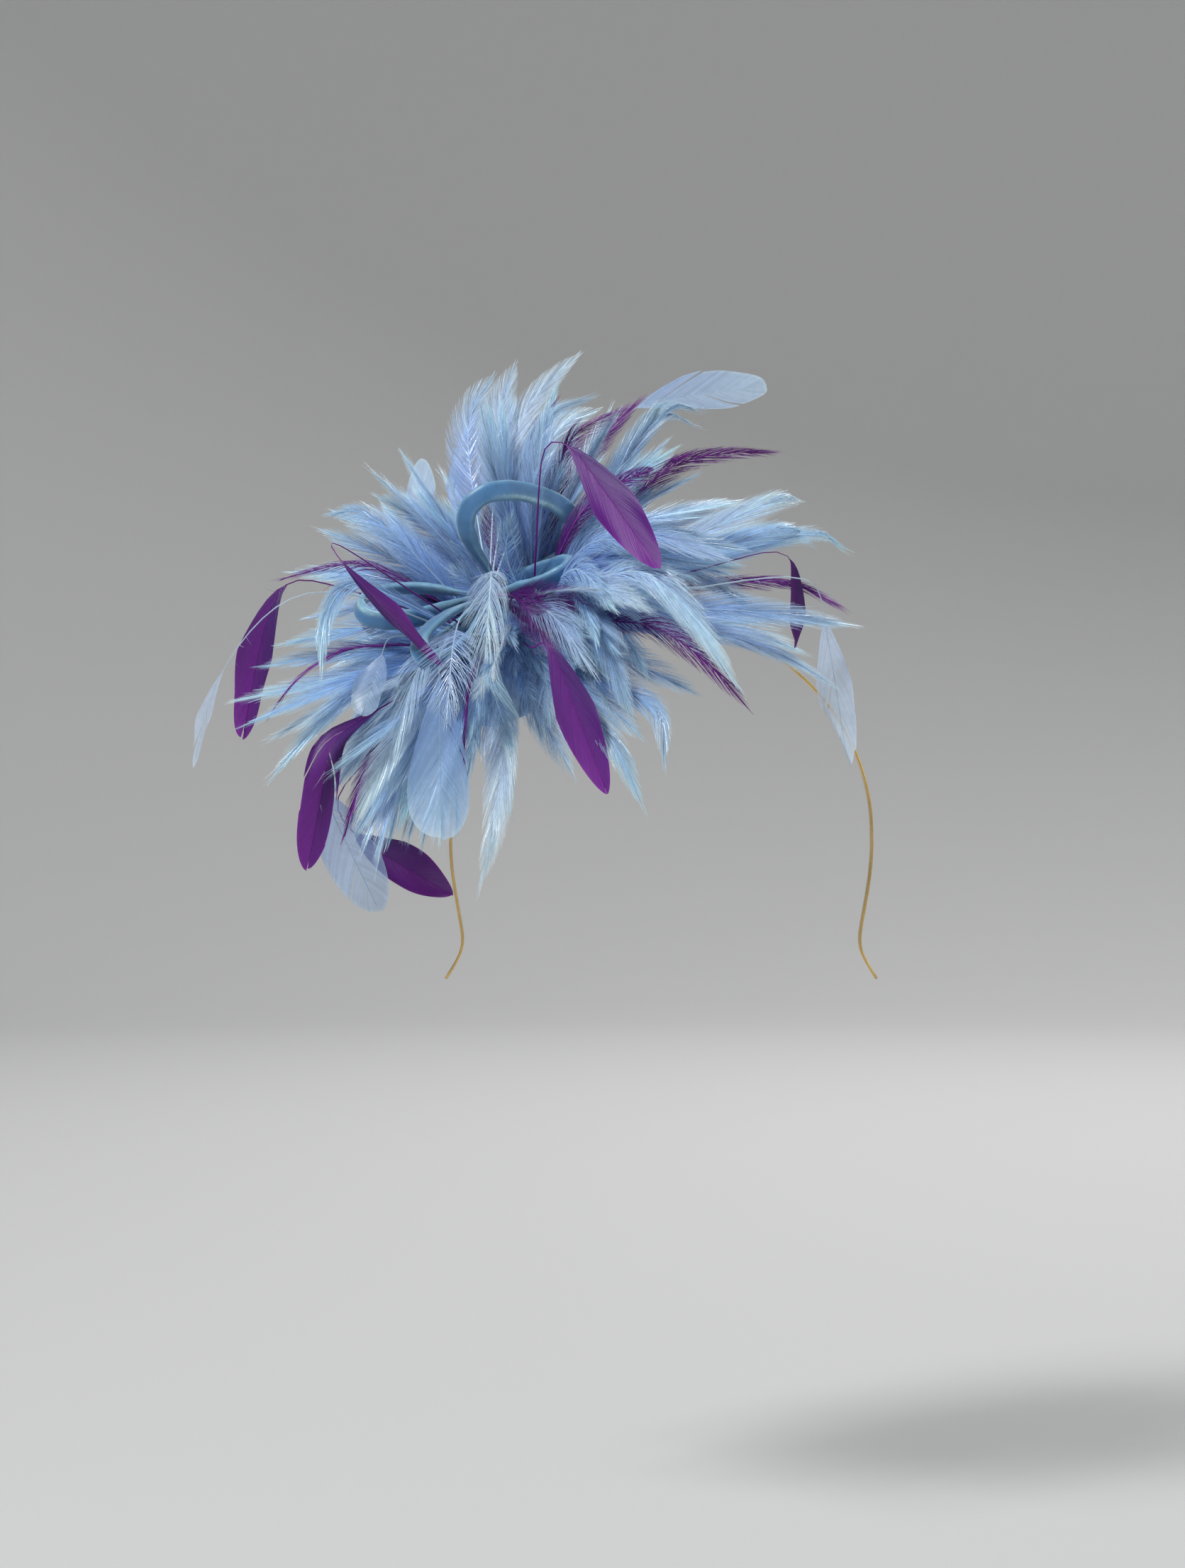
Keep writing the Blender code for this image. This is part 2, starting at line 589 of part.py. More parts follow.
def main():
    for old in list(bpy.data.objects):
        bpy.data.objects.remove(old)
    parts = bpy.data.collections.new("feather_fascinator")
    bpy.context.scene.collection.children.link(parts)
    gold = material("gold_metal", (0.72, 0.50, 0.20), 0.28, 1.0)
    felt = material("covered_base", (0.30, 0.44, 0.66), 0.8)
    satin = material("blue_satin", (0.16, 0.36, 0.58), 0.35)
    blue = material("blue_feather", (0.42, 0.58, 0.82), 0.55)
    purple = material("purple_feather", (0.19, 0.03, 0.30), 0.45)
    dyes = {"purple": purple, "blue": blue}

    headband(parts, gold)
    base_pad(parts, felt)
    stem("core_stem", CORE, CORE_HEAD_RADIUS, CORE_TOP, blue, parts)
    placed = [stem_sections(head, STEM_HEAD_RADIUS, STEM_TOP) for head in stem_heads()]
    placed.append(stem_sections(CORE, CORE_HEAD_RADIUS, CORE_TOP))
    for row in LOOPS:
        placed.append(loop_sections(row))
        add_object(row.name, loft(row.name, placed[-1]), satin, parts)
    for row in LEAVES:
        moved = settled(leaf_nudges(row), leaf_sections, tree_of(placed))
        placed.append(leaf_sections(moved))
        add_object(row.name, loft(row.name, placed[-1]), dyes[row.dye], parts)
    for row in PURPLE_HACKLES:
        moved = settled(hackle_nudges(row), hackle_sections, tree_of(placed))
        placed.append(hackle_sections(moved))
        add_object(row.name, loft(row.name, placed[-1]), purple, parts)
    for bunch in range(1, STEM_RING_COUNT + 1):
        rows = [row for row in BLUE_HACKLES if nearest_stem(row.middle) == bunch]
        placed += hackle_bunch(bunch, [*rows, *filling_hackles(bunch)], placed, blue, parts)


main()
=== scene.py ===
"""Looks of a feather fascinator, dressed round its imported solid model.

The file is laid out as an add-on and is run as a script. Sizes inside it are millimetres, as a
milliner would measure them, and they become Blender's metres where a mesh is made. Only the stage and
the panel are in metres. The line of each quill is read from its solid, so every feather stays where
its solid is.
"""
import math
from collections import namedtuple

import bpy
import numpy as np
from bpy.props import FloatProperty, FloatVectorProperty, PointerProperty
from bpy.types import Operator, Panel, PropertyGroup
from mathutils import Euler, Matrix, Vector


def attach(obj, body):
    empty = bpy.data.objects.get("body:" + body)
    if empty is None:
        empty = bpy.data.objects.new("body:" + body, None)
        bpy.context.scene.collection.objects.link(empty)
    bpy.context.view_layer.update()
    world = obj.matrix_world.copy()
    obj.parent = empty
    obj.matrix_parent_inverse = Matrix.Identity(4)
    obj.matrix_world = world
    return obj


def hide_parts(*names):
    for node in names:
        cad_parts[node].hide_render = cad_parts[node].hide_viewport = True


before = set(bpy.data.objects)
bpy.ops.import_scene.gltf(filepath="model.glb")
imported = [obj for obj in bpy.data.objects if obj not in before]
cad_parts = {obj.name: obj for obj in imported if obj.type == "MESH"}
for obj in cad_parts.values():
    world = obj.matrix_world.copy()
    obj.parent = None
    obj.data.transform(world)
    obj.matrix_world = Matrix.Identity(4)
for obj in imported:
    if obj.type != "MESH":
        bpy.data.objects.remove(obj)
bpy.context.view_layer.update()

bl_info = {
    "name": "Feather fascinator",
    "version": (1, 0, 0),
    "blender": (4, 5, 0),
    "location": "3D View > Sidebar > Fascinator",
    "description": "Dresses the solid model of a feather fascinator with barbs, satin and metal",
    "category": "Object",
}

MM = 0.001
BODY = "root"

# Sizes that the solids share, in millimetres, with the base's half angle in degrees
BAND_RADIUS = 77.0
FIT_CENTRE = np.array((0.0, 0.0, -BAND_RADIUS))
FIT_SEMI_AXES = np.array((78.0, 96.0, 78.0))
FIT_CLEARANCE = 1.03
CREST = np.array((-0.56, -0.27, 0.78)) / np.linalg.norm((-0.56, -0.27, 0.78))
BAND_FLAT_HALF = 3.0
BAND_WIDTH = 5.0
BAND_THICKNESS = 1.0
BAND_EDGE = 0.25
BAND_TIP_SHARE = 0.55
BAND_TIP_LENGTH = 4.0
BAND_SIDE = [(77, -84), (76.2, -93), (74.8, -102), (73.4, -110), (72.8, -115),
             (73.2, -119), (74.6, -122.5), (76.6, -126), (78.8, -129.5)]
BASE_INNER_RADIUS = 78.35
BASE_THICKNESS = 2.4
BASE_OUTER_RADIUS = BASE_INNER_RADIUS + BASE_THICKNESS
BASE_HALF_ANGLE = 21.0
GAP = 0.3
STEM_FOOT = FIT_CENTRE + CREST * (BASE_OUTER_RADIUS + GAP)
STEM_FOOT_RADIUS = 4.2
STEM_NECK_RADIUS = 2.5
STEM_WRAPS = 9
WRAP_RELIEF = 0.12
STEM_TOP = 15.0
STEM_HEAD_RADIUS = 4.8
STEM_RING_COUNT = 6
STEM_RING_RADIUS = 10.4
CORE_TOP = 29.0
CORE_HEAD_RADIUS = 6.2
HUB = STEM_FOOT + CREST * STEM_TOP
CORE = STEM_FOOT + CREST * CORE_TOP

# How the solids of the feathers are read
HACKLE_SECTIONS = 6
LEAF_EASE = 9  # how often a leaf's quill is eased, so that it bends without corners
LEAF_NECK_SECTION = 6  # the section of a leaf's solid where its vane starts
LOOP_CORNERS = 6
LOOP_END_REACH = 3.0
TIP_SPREAD = 2.6  # the corners of a blade's tip lie closer together than this
TIP_DISTANCE = 25.0  # a blade's tip lies further than this from the middle of the stems
WIDEST_BLADE = 18.0

# Feathers
QUILL_STEPS = 48
SHAFT_TIP_SHARE = 0.22  # how thick a shaft is at its tip, as a share of its root
BARB_STATIONS = np.array((0.0, 0.25, 0.6, 1.0))
SHEET_STATIONS = np.linspace(0.0, 1.0, 7)
FLUFF_STATIONS = np.linspace(0.0, 1.0, 6)
HACKLE_OUTLINE = (0.98, 0.62)  # full nearly to the tip
FLUFF_WIDTH = 0.16
FILL_SPREAD = 0.62  # how far a bunch's shorter hackles fan out, as a share of the way to the next
FILL_SWAY = 9.0
FILL_ARCH = 3.0
FILL_WIDTHS = (9.0, 15.0)
FILL_FACE = np.array((-0.3, -0.6, 0.7))
WHITE = (0.87, 0.96, 1.0)
LEAF_GREY = (0.34, 0.45, 0.56)
BARB_SCALE = 420.0
WHITENESS = (0.0, 0.0, 0.15, 0.6)  # how far the dye of a blue feather may have washed out

# spacing is that of the barbs and reach the share of the blade that one runs forward, clump is how many
# gather in a wisp and pull how closely, cup how far the blade cups and lift how far its wisps rise, fray
# how ragged its edge is and breadth how wide a barb is
Style = namedtuple("Style", "spacing reach clump pull cup lift fray breadth")
HACKLE = Style(0.31, 0.30, 5, 0.32, 0.20, 0.8, 0.38, 0.15)
SLIM_HACKLE = Style(0.62, 0.20, 4, 0.50, 0.25, 0.7, 0.40, 0.20)
LOOSE = Style(0.44, 0.40, 4, 0.60, 0.45, 1.1, 0.35, 0.17)
GLASSY = Style(0.27, 0.26, 7, 0.25, 0.25, 0.5, 0.18, 0.19)

# Looks of the barbs. tint is that of their sheen, through the share of light that comes through them and
# gaps the share of a surface that is open between them
Barbs = namedtuple("Barbs", "name roughness sheen tint through gaps")
BLUE_BARBS = Barbs("blue_barbs", 0.22, 0.30, (0.9, 0.97, 1.0), 0.42, 0.20)
BLUE_SHEET = Barbs("blue_close_barbs", 0.36, 0.20, (0.9, 0.97, 1.0), 0.45, 0.38)
PURPLE_BARBS = Barbs("purple_barbs", 0.46, 0.05, (0.85, 0.6, 1.0), 0.20, 0.0)

# Shorter hackles that fill each bunch. lift is their rise above the ring in degrees and reach their
# length, each from the least to the most, and sink is how far they droop as a share of their length
Fill = namedtuple("Fill", "bunch number low_lift high_lift low_reach high_reach sink")
FILLS = [
    Fill(1, 28, -22, 26, 46, 92, 0.24),
    Fill(1, 22, 28, 70, 46, 84, 0.05),
    Fill(2, 20, -14, 32, 44, 78, 0.22),
    Fill(2, 20, 34, 74, 44, 78, 0.06),
    Fill(3, 18, -14, 20, 44, 74, 0.26),
    Fill(3, 14, 20, 52, 44, 76, 0.12),
    Fill(4, 26, -16, 8, 44, 74, 0.24),
    Fill(5, 20, -18, 0, 36, 60, 0.22),
    Fill(6, 34, -18, 16, 46, 92, 0.22),
]

# Blades that stand out as white or broad: their tips, how much whiter and how much broader they are
Accent = namedtuple("Accent", "tip white broader")
ACCENTS = [
    Accent((-57, -106, -25), 0.75, 1.5),
    Accent((-62.6, -99.3, -90), 0.45, 1),
    Accent((-53, -5, 92), 0.50, 1.5),
    Accent((-29, -10, 96), 0.60, 1.5),
    Accent((24, -90, -23), 0.35, 1.1),
    Accent((51, 10, 44), 0.35, 1),
    Accent((-137, -40, -45), 0.50, 1.1),
    Accent((-120, -78, -27), 0.45, 1.1),
]
ACCENT_REACH = 9.0

# Further plumes that are sewn in among the others, each with the solid that it goes with. bare is the
# share of its shaft that has no barbs
Plume = namedtuple("Plume", "node middle tip width white style bare", defaults=(0.34,))
PLUMES = [
    Plume("blue_hackles_5", (-60, -66, 15), (-62, -96, -25), 17, 0.50, LOOSE),
    Plume("blue_hackles_5", (-40, -72, 2), (-24, -92, -20), 15, 0.25, LOOSE),
    Plume("blue_hackles_4", (-84, -72, -16), (-92, -86, -46), 14, 0.35, LOOSE),
    Plume("blue_hackles_4", (-92, -76, -41), (-106, -80, -70), 12, 0.55, GLASSY),
    Plume("blue_hackles_4", (-71, -88, -3), (-74, -106, -37), 24, 0.30, LOOSE, 0.62),
    Plume("blue_hackles_6", (-14, -73, 6), (14, -80, -14), 14, 0.25, LOOSE),
    Plume("blue_hackles_2", (-59, -8, 71), (-53, -6, 93), 16, 0.35, GLASSY),
    Plume("blue_hackles_2", (-70, -4, 68), (-61, -2, 89), 17, 0.15, GLASSY),
    Plume("blue_hackles_2", (-51, -9, 71), (-30, -10, 96), 11, 0.45, GLASSY),
    Plume("blue_hackles_2", (-41, -12, 64), (-23, -12, 76), 13, 0.40, GLASSY),
    Plume("purple_hackle_back", (-60, -16, 30), (-58, -10, 56), 13, 0.04, HACKLE),
    Plume("purple_hackle_crown", (-27, -6, 60), (-8, -4, 80), 12, 0.02, HACKLE),
    Plume("purple_hackle_crown", (-47, -4, 62), (-38, -2, 80), 10, 0.03, HACKLE),
    Plume("purple_hackle_brow", (-50, -64, 6), (-36, -78, -14), 15, 0.0, HACKLE),
    Plume("purple_hackle_brow", (-44, -62, 8), (-26, -74, 4), 13, 0.0, HACKLE),
]

# belly is the widest place of the vane, blunt the roundness of its end and reach the share of it that a
# barb runs forward. slits is how many gaps split each side and broader its width as a share of its
# solid's, start moves the place where it begins down its quill and roll turns it about its quill
Leaf = namedtuple("Leaf", "node belly blunt reach slits broader start roll", defaults=(0, 1.0, 0.0, 0))
LEAVES = [
    Leaf("purple_leaf_front", 0.42, 0.52, 0.42),
    Leaf("purple_leaf_left", 0.45, 0.60, 0.42),
    Leaf("purple_leaf_brow", 0.50, 0.65, 0.40),
    Leaf("purple_leaf_side", 0.50, 0.50, 0.40, 0, 1.35, 0.10),
    Leaf("purple_leaf_low", 0.62, 0.55, 0.30, 2, 1.25, 0.30),
    Leaf("purple_leaf_back", 0.50, 0.60, 0.35, 0, 1.15),
    Leaf("purple_leaf_right", 0.50, 0.60, 0.40, 0, 1.1, 0.0, -30),
    Leaf("blue_leaf_crown", 0.60, 0.36, 0.34, 2),
    Leaf("blue_leaf_far_left", 0.55, 0.70, 0.40, 1),
    Leaf("blue_leaf_far_right", 0.50, 0.62, 0.38, 2),
    Leaf("blue_leaf_brow", 0.73, 0.42, 0.42, 1, 1.05),
    Leaf("blue_leaf_low", 0.55, 0.50, 0.32, 2, 1.35),
    Leaf("blue_leaf_back", 0.62, 0.50, 0.36, 1, 1.0, 0.30),
    Leaf("blue_leaf_spoon", 0.60, 0.40, 0.34, 1),
    Leaf("blue_leaf_top", 0.60, 0.60, 0.38, 1, 1.0, 0.30),
]


def unit(vectors):
    """The same directions with length 1."""
    vectors = np.asarray(vectors, float)
    return vectors / np.maximum(np.linalg.norm(vectors, axis=-1, keepdims=True), 1e-9)


def mix(a, b, share):
    """What lies between a and b at that share of the way."""
    return np.asarray(a) + (np.asarray(b) - np.asarray(a)) * np.asarray(share)[..., None]


def generator(name):
    """Random numbers that are the same each run for the piece of that name."""
    return np.random.default_rng([ord(letter) for letter in name])


def corners_of(node):
    """A solid's corners in millimetres and, for each, the ones that it shares an edge with."""
    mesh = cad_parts[node].data
    flat = np.empty(len(mesh.vertices) * 3, np.float32)
    mesh.vertices.foreach_get("co", flat)
    points, index = np.unique(np.round(flat.reshape(-1, 3) / MM, 2), axis=0, return_inverse=True)
    index = index.reshape(-1)
    near = [set() for _ in points]
    for edge in mesh.edges:
        a, b = (int(index[i]) for i in edge.vertices)
        if a != b:
            near[a].add(b)
            near[b].add(a)
    return points, near


def walk(points, near, start):
    """The sections of a lofted solid from its end section on, as far as they have as many corners."""
    rings, seen = [sorted(start)], set(start)
    while True:
        ring = sorted({n for corner in rings[-1] for n in near[corner]} - seen)
        if len(ring) != len(start):
            return [points[ring] for ring in rings]
        rings.append(ring)
        seen |= set(ring)


def end_section(points, near, corner, reach):
    """The corners that lie within reach of one corner and are joined to it."""
    found, edge = {corner}, {corner}
    while edge:
        edge = {n for c in edge for n in near[c]
                if np.linalg.norm(points[n] - points[corner]) < reach} - found
        found |= edge
    return found


def widest(ring):
    """A section's middle, the way across it and its width."""
    apart = ring[:, None] - ring[None]
    length = np.linalg.norm(apart, axis=2)
    a, b = np.unravel_index(length.argmax(), length.shape)
    return ring.mean(0), apart[a, b] / length[a, b], length[a, b]


def spread(wanted, known, rows):
    """Rows of three numbers at the wanted places, between those at the known places."""
    return np.stack([np.interp(wanted, known, rows[:, i]) for i in range(3)], axis=-1)


def smooth_line(knots, count):
    """Points on a Catmull-Rom curve through the knots, the same distance apart."""
    knots = np.asarray(knots, float)
    padded = np.vstack([2 * knots[0] - knots[1], knots, 2 * knots[-1] - knots[-2]])
    t = np.linspace(0.0, 1.0, 16, endpoint=False)[:, None]
    dense = []
    for a, b, c, d in zip(padded, padded[1:], padded[2:], padded[3:]):
        dense.append(0.5 * (2 * b + (c - a) * t + (2 * a - 5 * b + 4 * c - d) * t ** 2
                            + (3 * b - a - 3 * c + d) * t ** 3))
    dense = np.vstack([*dense, knots[-1:]])
    reached = np.concatenate([[0.0], np.cumsum(np.linalg.norm(np.diff(dense, axis=0), axis=1))])
    wanted = np.linspace(0.0, reached[-1], count)
    return spread(wanted, reached, dense)


def clear_of_fit(points):
    """The same points, moved out of the hollow where they would sink in."""
    offset = (points - FIT_CENTRE) / FIT_SEMI_AXES
    length = np.linalg.norm(offset, axis=-1, keepdims=True)
    return FIT_CENTRE + offset * np.maximum(1.0, FIT_CLEARANCE / length) * FIT_SEMI_AXES


class Quill:
    """The line of a feather's shaft, with the way that its blade spreads at each place."""

    def __init__(self, knots, across, middle=0.6, eased=0):
        self.line = smooth_line(knots, QUILL_STEPS)
        for _ in range(eased):
            self.line[1:-1] = (self.line[:-2] + 2 * self.line[1:-1] + self.line[2:]) / 4
        self.length = np.linalg.norm(np.diff(self.line, axis=0), axis=1).sum()
        self.way = unit(np.gradient(self.line, axis=0))
        start = int(middle * (QUILL_STEPS - 1))
        self.across = np.zeros_like(self.line)
        self.across[start] = across
        for i in [*range(start, QUILL_STEPS), *range(start - 1, -1, -1)]:
            before = self.across[max(i - 1, start) if i >= start else i + 1]
            self.across[i] = unit(before - self.way[i] * before.dot(self.way[i]))
        self.up = np.cross(self.across, self.way)

    def at(self, share):
        """Place, ways along, across and up at shares of the length. Past the tip it runs straight on."""
        steps = np.linspace(0.0, 1.0, QUILL_STEPS)
        held = np.clip(share, 0.0, 1.0)
        found = [spread(held, steps, rows) for rows in (self.line, self.way, self.across, self.up)]
        found[0] = found[0] + found[1] * ((share - held) * self.length)[..., None]
        return found


class Shape:
    """The points, faces, dyes and material numbers that one piece is gathered from."""

    def __init__(self):
        self.points, self.faces, self.dyes, self.finishes = [], [], [], []
        self.count = 0

    def add(self, points, faces, dyes, finish=0):
        points = points.reshape(-1, 3)
        self.points.append(points)
        self.faces.append(faces.reshape(-1, 4) + self.count)
        self.dyes.append(dyes.reshape(-1, 3))
        self.finishes.append(np.full(faces.size // 4, finish))
        self.count += len(points)


def ribbons(shape, lines, sides, breadths, dyes):
    """Flat ribbons along many lines at once: lines[ribbon, station] with the half ways to each side."""
    half = sides * (breadths / 2)[..., None]
    points = np.stack([lines - half, lines + half], axis=2)
    number, stations = lines.shape[:2]
    first = (np.arange(number) * stations * 2)[:, None] + np.arange(stations - 1) * 2
    faces = np.stack([first, first + 1, first + 3, first + 2], axis=-1)
    shape.add(points, faces, np.repeat(dyes[:, :, None], 2, axis=2))


def tube(shape, rings, dyes, finish=0):
    """Sides between rings of points, with each end drawn to its middle. dyes are one for all, or each."""
    steps, corners = rings.shape[:2]
    dyes = np.broadcast_to(dyes, rings.shape)
    ends = [np.repeat(rings[i].mean(0)[None], corners, axis=0)[None] for i in (0, -1)]
    rings = np.concatenate([ends[0], rings, ends[1]])
    dyes = np.concatenate([dyes[:1], dyes, dyes[-1:]])
    low = (np.arange(steps + 1) * corners)[:, None] + np.arange(corners)
    high = (np.arange(steps + 1) * corners)[:, None] + (np.arange(corners) + 1) % corners
    faces = np.stack([low, high, high + corners, low + corners], axis=-1)
    shape.add(rings, faces, dyes, finish)


def shaft(shape, quill, radius, dye):
    """The tapered shaft of a feather."""
    turns = np.arange(5) * math.tau / 5
    thin = radius * np.linspace(1.0, SHAFT_TIP_SHARE, QUILL_STEPS)[:, None, None]
    rings = quill.line[:, None] + thin * (quill.across[:, None] * np.cos(turns)[:, None]
                                          + quill.up[:, None] * np.sin(turns)[:, None])
    tube(shape, rings[::2], dye)


def vane(shape, quill, start, half_width, style, dyes, rng):
    """The loose barbs on both sides of a shaft, gathered in wisps. dyes are the deep and the pale one."""
    count = max(12, int(quill.length * (1 - start) / style.spacing))
    for side in (-1.0, 1.0):
        # where each barb leaves the shaft, and how far forward and out it ends
        along = ((np.arange(count) + rng.random(count) * 0.9) / count) ** 1.25
        reach = style.reach * (0.65 + 1.7 * along * (1 - along))
        reach = reach * (1 - style.fray * rng.uniform(-0.5, 1.0, count))
        along = along * (1 - style.reach * 0.5)
        wisp = np.cumsum(rng.random(count) < 1 / style.clump)
        wisps = wisp[-1] + 1
        edge = along + reach
        wide = np.maximum(half_width * outline(edge, *HACKLE_OUTLINE), 0.35)
        wide = wide * (1 - style.fray * rng.random(count) ** 2)
        # the barbs of a wisp draw together towards their own mean
        size = np.maximum(np.bincount(wisp, minlength=wisps), 1)
        edge_mean = (np.bincount(wisp, edge, wisps) / size)[wisp]
        wide_mean = (np.bincount(wisp, wide, wisps) / size)[wisp]
        lifts = rng.normal(0.0, style.lift, wisps)[wisp] + rng.normal(0.0, style.lift * 0.35, count)
        u = BARB_STATIONS
        pull = style.pull * rng.random(wisps)[wisp][:, None] * u ** 1.5
        ends = edge[:, None] + (edge_mean - edge)[:, None] * pull
        outs = wide[:, None] + (wide_mean - wide)[:, None] * pull
        shares = along[:, None] + (ends - along[:, None]) * u
        place, way, across, up = quill.at(start + (1 - start) * shares)
        out = (outs * (1.45 * u - 0.45 * u ** 2))[..., None]
        rise = (style.cup * outs * u ** 2 + lifts[:, None] * u ** 2)[..., None]
        lines = clear_of_fit(place + across * (side * out) + up * rise)
        ways = unit(np.gradient(lines, axis=1))
        flats = unit(np.cross(ways, up) + up * rng.normal(0.0, 0.6, (count, 1, 1)))
        breadths = style.breadth * (1.0 - u) ** 0.7 * rng.uniform(0.7, 1.3, (count, 1)) + 0.04
        # painted shade and sheen: deeper by the stem, partly the feather's own colour and partly painted
        # shade of the dense middle, and paler towards each barb's end as a painted sheen
        pale = np.clip(0.15 + 0.75 * along[:, None] + 0.4 * (u - 0.25), 0.0, 1.0)
        shade = 1 + rng.normal(0.0, 0.13, (count, 1)) + rng.normal(0.0, 0.12, wisps)[wisp][:, None]
        dye = mix(dyes[0], dyes[1], pale) * shade[..., None]
        ribbons(shape, lines, flats, breadths, np.clip(dye, 0.0, 1.0))


def close_vane(shape, quill, start, half_width, row, dyes, rng):
    """The two close halves of a leaf's vane. Each is one sheet of barbs that lie edge to edge."""
    count = max(24, int(quill.length * (1 - start) / 0.4))
    power = math.log(0.5) / math.log(row.belly)
    for side in (-1.0, 1.0):
        along = np.linspace(0.0, 1.0, count)
        reach = row.reach * (1.2 - 0.7 * along)
        along = along * (1 - row.reach * 0.5)
        edge = along + reach
        wide = half_width * outline(edge, power, row.blunt)
        # slits part the sheet in locks, which lie a little apart
        split = np.zeros(count, bool)
        split[rng.integers(count // 5, max(count // 5 + 1, int(count * 0.85)), row.slits)] = True
        lock = np.cumsum(split)
        drift = rng.normal(0.0, 0.012, lock[-1] + 1)[lock]
        u = SHEET_STATIONS
        shares = along[:, None] + (reach + drift)[:, None] * u
        place, way, across, up = quill.at(start + (1 - start) * shares)
        out = (wide[:, None] * (1.35 * u - 0.35 * u ** 2))[..., None]
        bend = 0.28 * u ** 2 - 0.10 * u
        wave = 0.5 * np.sin(along * 9.0 + side)[:, None] * u ** 2
        ridge = rng.normal(0.0, 0.03, (count, 1)) * (1 - 0.6 * u)
        slit = rng.normal(0.0, 0.35, lock[-1] + 1)[lock][:, None] * u ** 2
        rise = (wide[:, None] * bend + wave + ridge + slit)[..., None]
        lines = clear_of_fit(place + across * (side * out) + up * rise)
        # painted sheen: rim makes the vane paler along its outer edge
        rim = np.clip((u - 0.86) / 0.14, 0.0, 1.0)
        # painted shade: one half of the vane is darker and the other lighter, as light falls on them,
        # more so on the purple leaves
        half = (0.14 if row.node.startswith("purple") else 0.04) * side
        # deeper by the stem, partly the leaf's own colour and partly painted shade, with the painted
        # sheen and shade above
        pale = np.clip(0.15 + 0.55 * along[:, None] + 0.35 * rim + half, 0.0, 1.0)
        streak = 1 + rng.normal(0.0, 0.07, (count, 1)) + 0.03 * np.sin(along * 60.0)[:, None]
        dye = np.clip(mix(dyes[0], dyes[1], pale) * streak[..., None], 0.0, 1.0)
        whole = np.flatnonzero(~split[1:])
        first = (whole * len(u))[:, None] + np.arange(len(u) - 1)
        faces = np.stack([first, first + 1, first + len(u) + 1, first + len(u)], axis=-1)
        shape.add(lines, faces, dye)


def fluff(shape, quill, start, number, reach, dye, rng):
    """Loose curly barbs where a blade starts."""
    u = FLUFF_STATIONS
    share = rng.random(number) * (start + 0.12)
    place, way, across, up = (rows[:, None] for rows in quill.at(share))
    turn = rng.random(number)[:, None, None] * math.tau
    out = across * np.cos(turn) + up * np.sin(turn) * 0.6 + way * rng.normal(0.5, 0.3, turn.shape)
    bend = unit(rng.normal(0.0, 1.0, (number, 1, 3)))
    length = reach * (0.5 + rng.random(number))[:, None, None]
    lines = place + length * (unit(out) * u[:, None] + bend * 0.45 * u[:, None] ** 2)
    flats = unit(np.cross(unit(np.gradient(lines, axis=1)), up + bend))
    breadths = np.broadcast_to(FLUFF_WIDTH * (1.05 - u), lines.shape[:2])
    shade = np.broadcast_to(1 + rng.normal(0.0, 0.1, (number, 1, 1)), lines.shape[:2] + (1,))
    ribbons(shape, clear_of_fit(lines), flats, breadths, np.clip(dye * shade, 0.0, 1.0))


def outline(share, power, blunt):
    """A vane's half width at shares of it. The higher power is, the further on is its widest place."""
    return np.clip(np.sin(np.pi * np.clip(share, 0.0, 1.0) ** power), 0.0, 1.0) ** blunt


def bunch_quills(node, head):
    """(quill, width) of each blade of a bunch, read from its solid as far as its sections lie free."""
    points, near = corners_of(node)
    found, seen = [], set()
    for corner in range(len(points)):
        if corner in seen or np.linalg.norm(points[corner] - HUB) < TIP_DISTANCE:
            continue
        tip = end_section(points, near, corner, TIP_SPREAD)
        seen |= tip
        if len(tip) != 4:
            continue
        rings = walk(points, near, tip)[:HACKLE_SECTIONS]
        if len(rings) < 3:
            cut = sorted({n for c in tip for n in near[c]} - tip)
            if len(rings) < 2 and len(cut) > 3:
                rings.append(points[cut])
            if len(rings) < 2 or widest(rings[1])[2] > WIDEST_BLADE:
                continue
        sections = [widest(ring) for ring in rings]
        middles = [row[0] for row in sections]
        if len(sections) < HACKLE_SECTIONS:
            middles.append(head + unit(middles[-1] - head) * STEM_HEAD_RADIUS)
        middles[-1] = middles[-1] + unit(head - middles[-1]) * 2.0
        broad = sections[min(2, len(sections) - 1)]
        found.append((Quill(middles[::-1], broad[1]), min(WIDEST_BLADE, broad[2])))
    return found


def fan_quills(fill, amount, rng):
    """(quill, width) of the shorter hackles that fill the gaps of a bunch."""
    head = stem_heads()[fill.bunch - 1]
    made = []
    for _ in range(int(fill.number * amount)):
        turn = math.tau * (fill.bunch - 1 + rng.uniform(-FILL_SPREAD, FILL_SPREAD)) / STEM_RING_COUNT
        lift = math.radians(rng.uniform(fill.low_lift, fill.high_lift))
        way = round_crest(turn) * math.cos(lift) + CREST * math.sin(lift)
        reach = rng.uniform(fill.low_reach, fill.high_reach)
        sink = np.array((0.0, 0.0, -reach * fill.sink * rng.uniform(0.2, 1.8)))
        sway = np.cross(way, CREST) * rng.uniform(-FILL_SWAY, FILL_SWAY)
        knots = np.array([head + way * 2.0, head + way * reach * 0.5 + sway + CREST * FILL_ARCH,
                          head + way * reach + sink])
        line = clear_of_fit(smooth_line(knots, 7)[1:])
        face = unit(FILL_FACE + rng.normal(0.0, 0.35, 3))
        across = unit(np.cross(unit(line[-1] - line[2]), face))
        made.append((Quill(np.vstack([knots[:1], line]), across), rng.uniform(*FILL_WIDTHS)))
    return made


def round_crest(turns):
    """Ways at right angles to the crest at those turns round it."""
    side = unit(np.cross(CREST, (0.0, 0.0, 1.0)))
    turns = np.asarray(turns)[..., None]
    return unit(np.cross(side, CREST)) * np.cos(turns) + side * np.sin(turns)


def ring_round_crest(count):
    """That many of these ways, spread evenly."""
    return round_crest(math.tau * np.arange(count) / count)


def stem_heads():
    """The middles of the rounded heads of the ring of stems."""
    return HUB + ring_round_crest(STEM_RING_COUNT) * STEM_RING_RADIUS


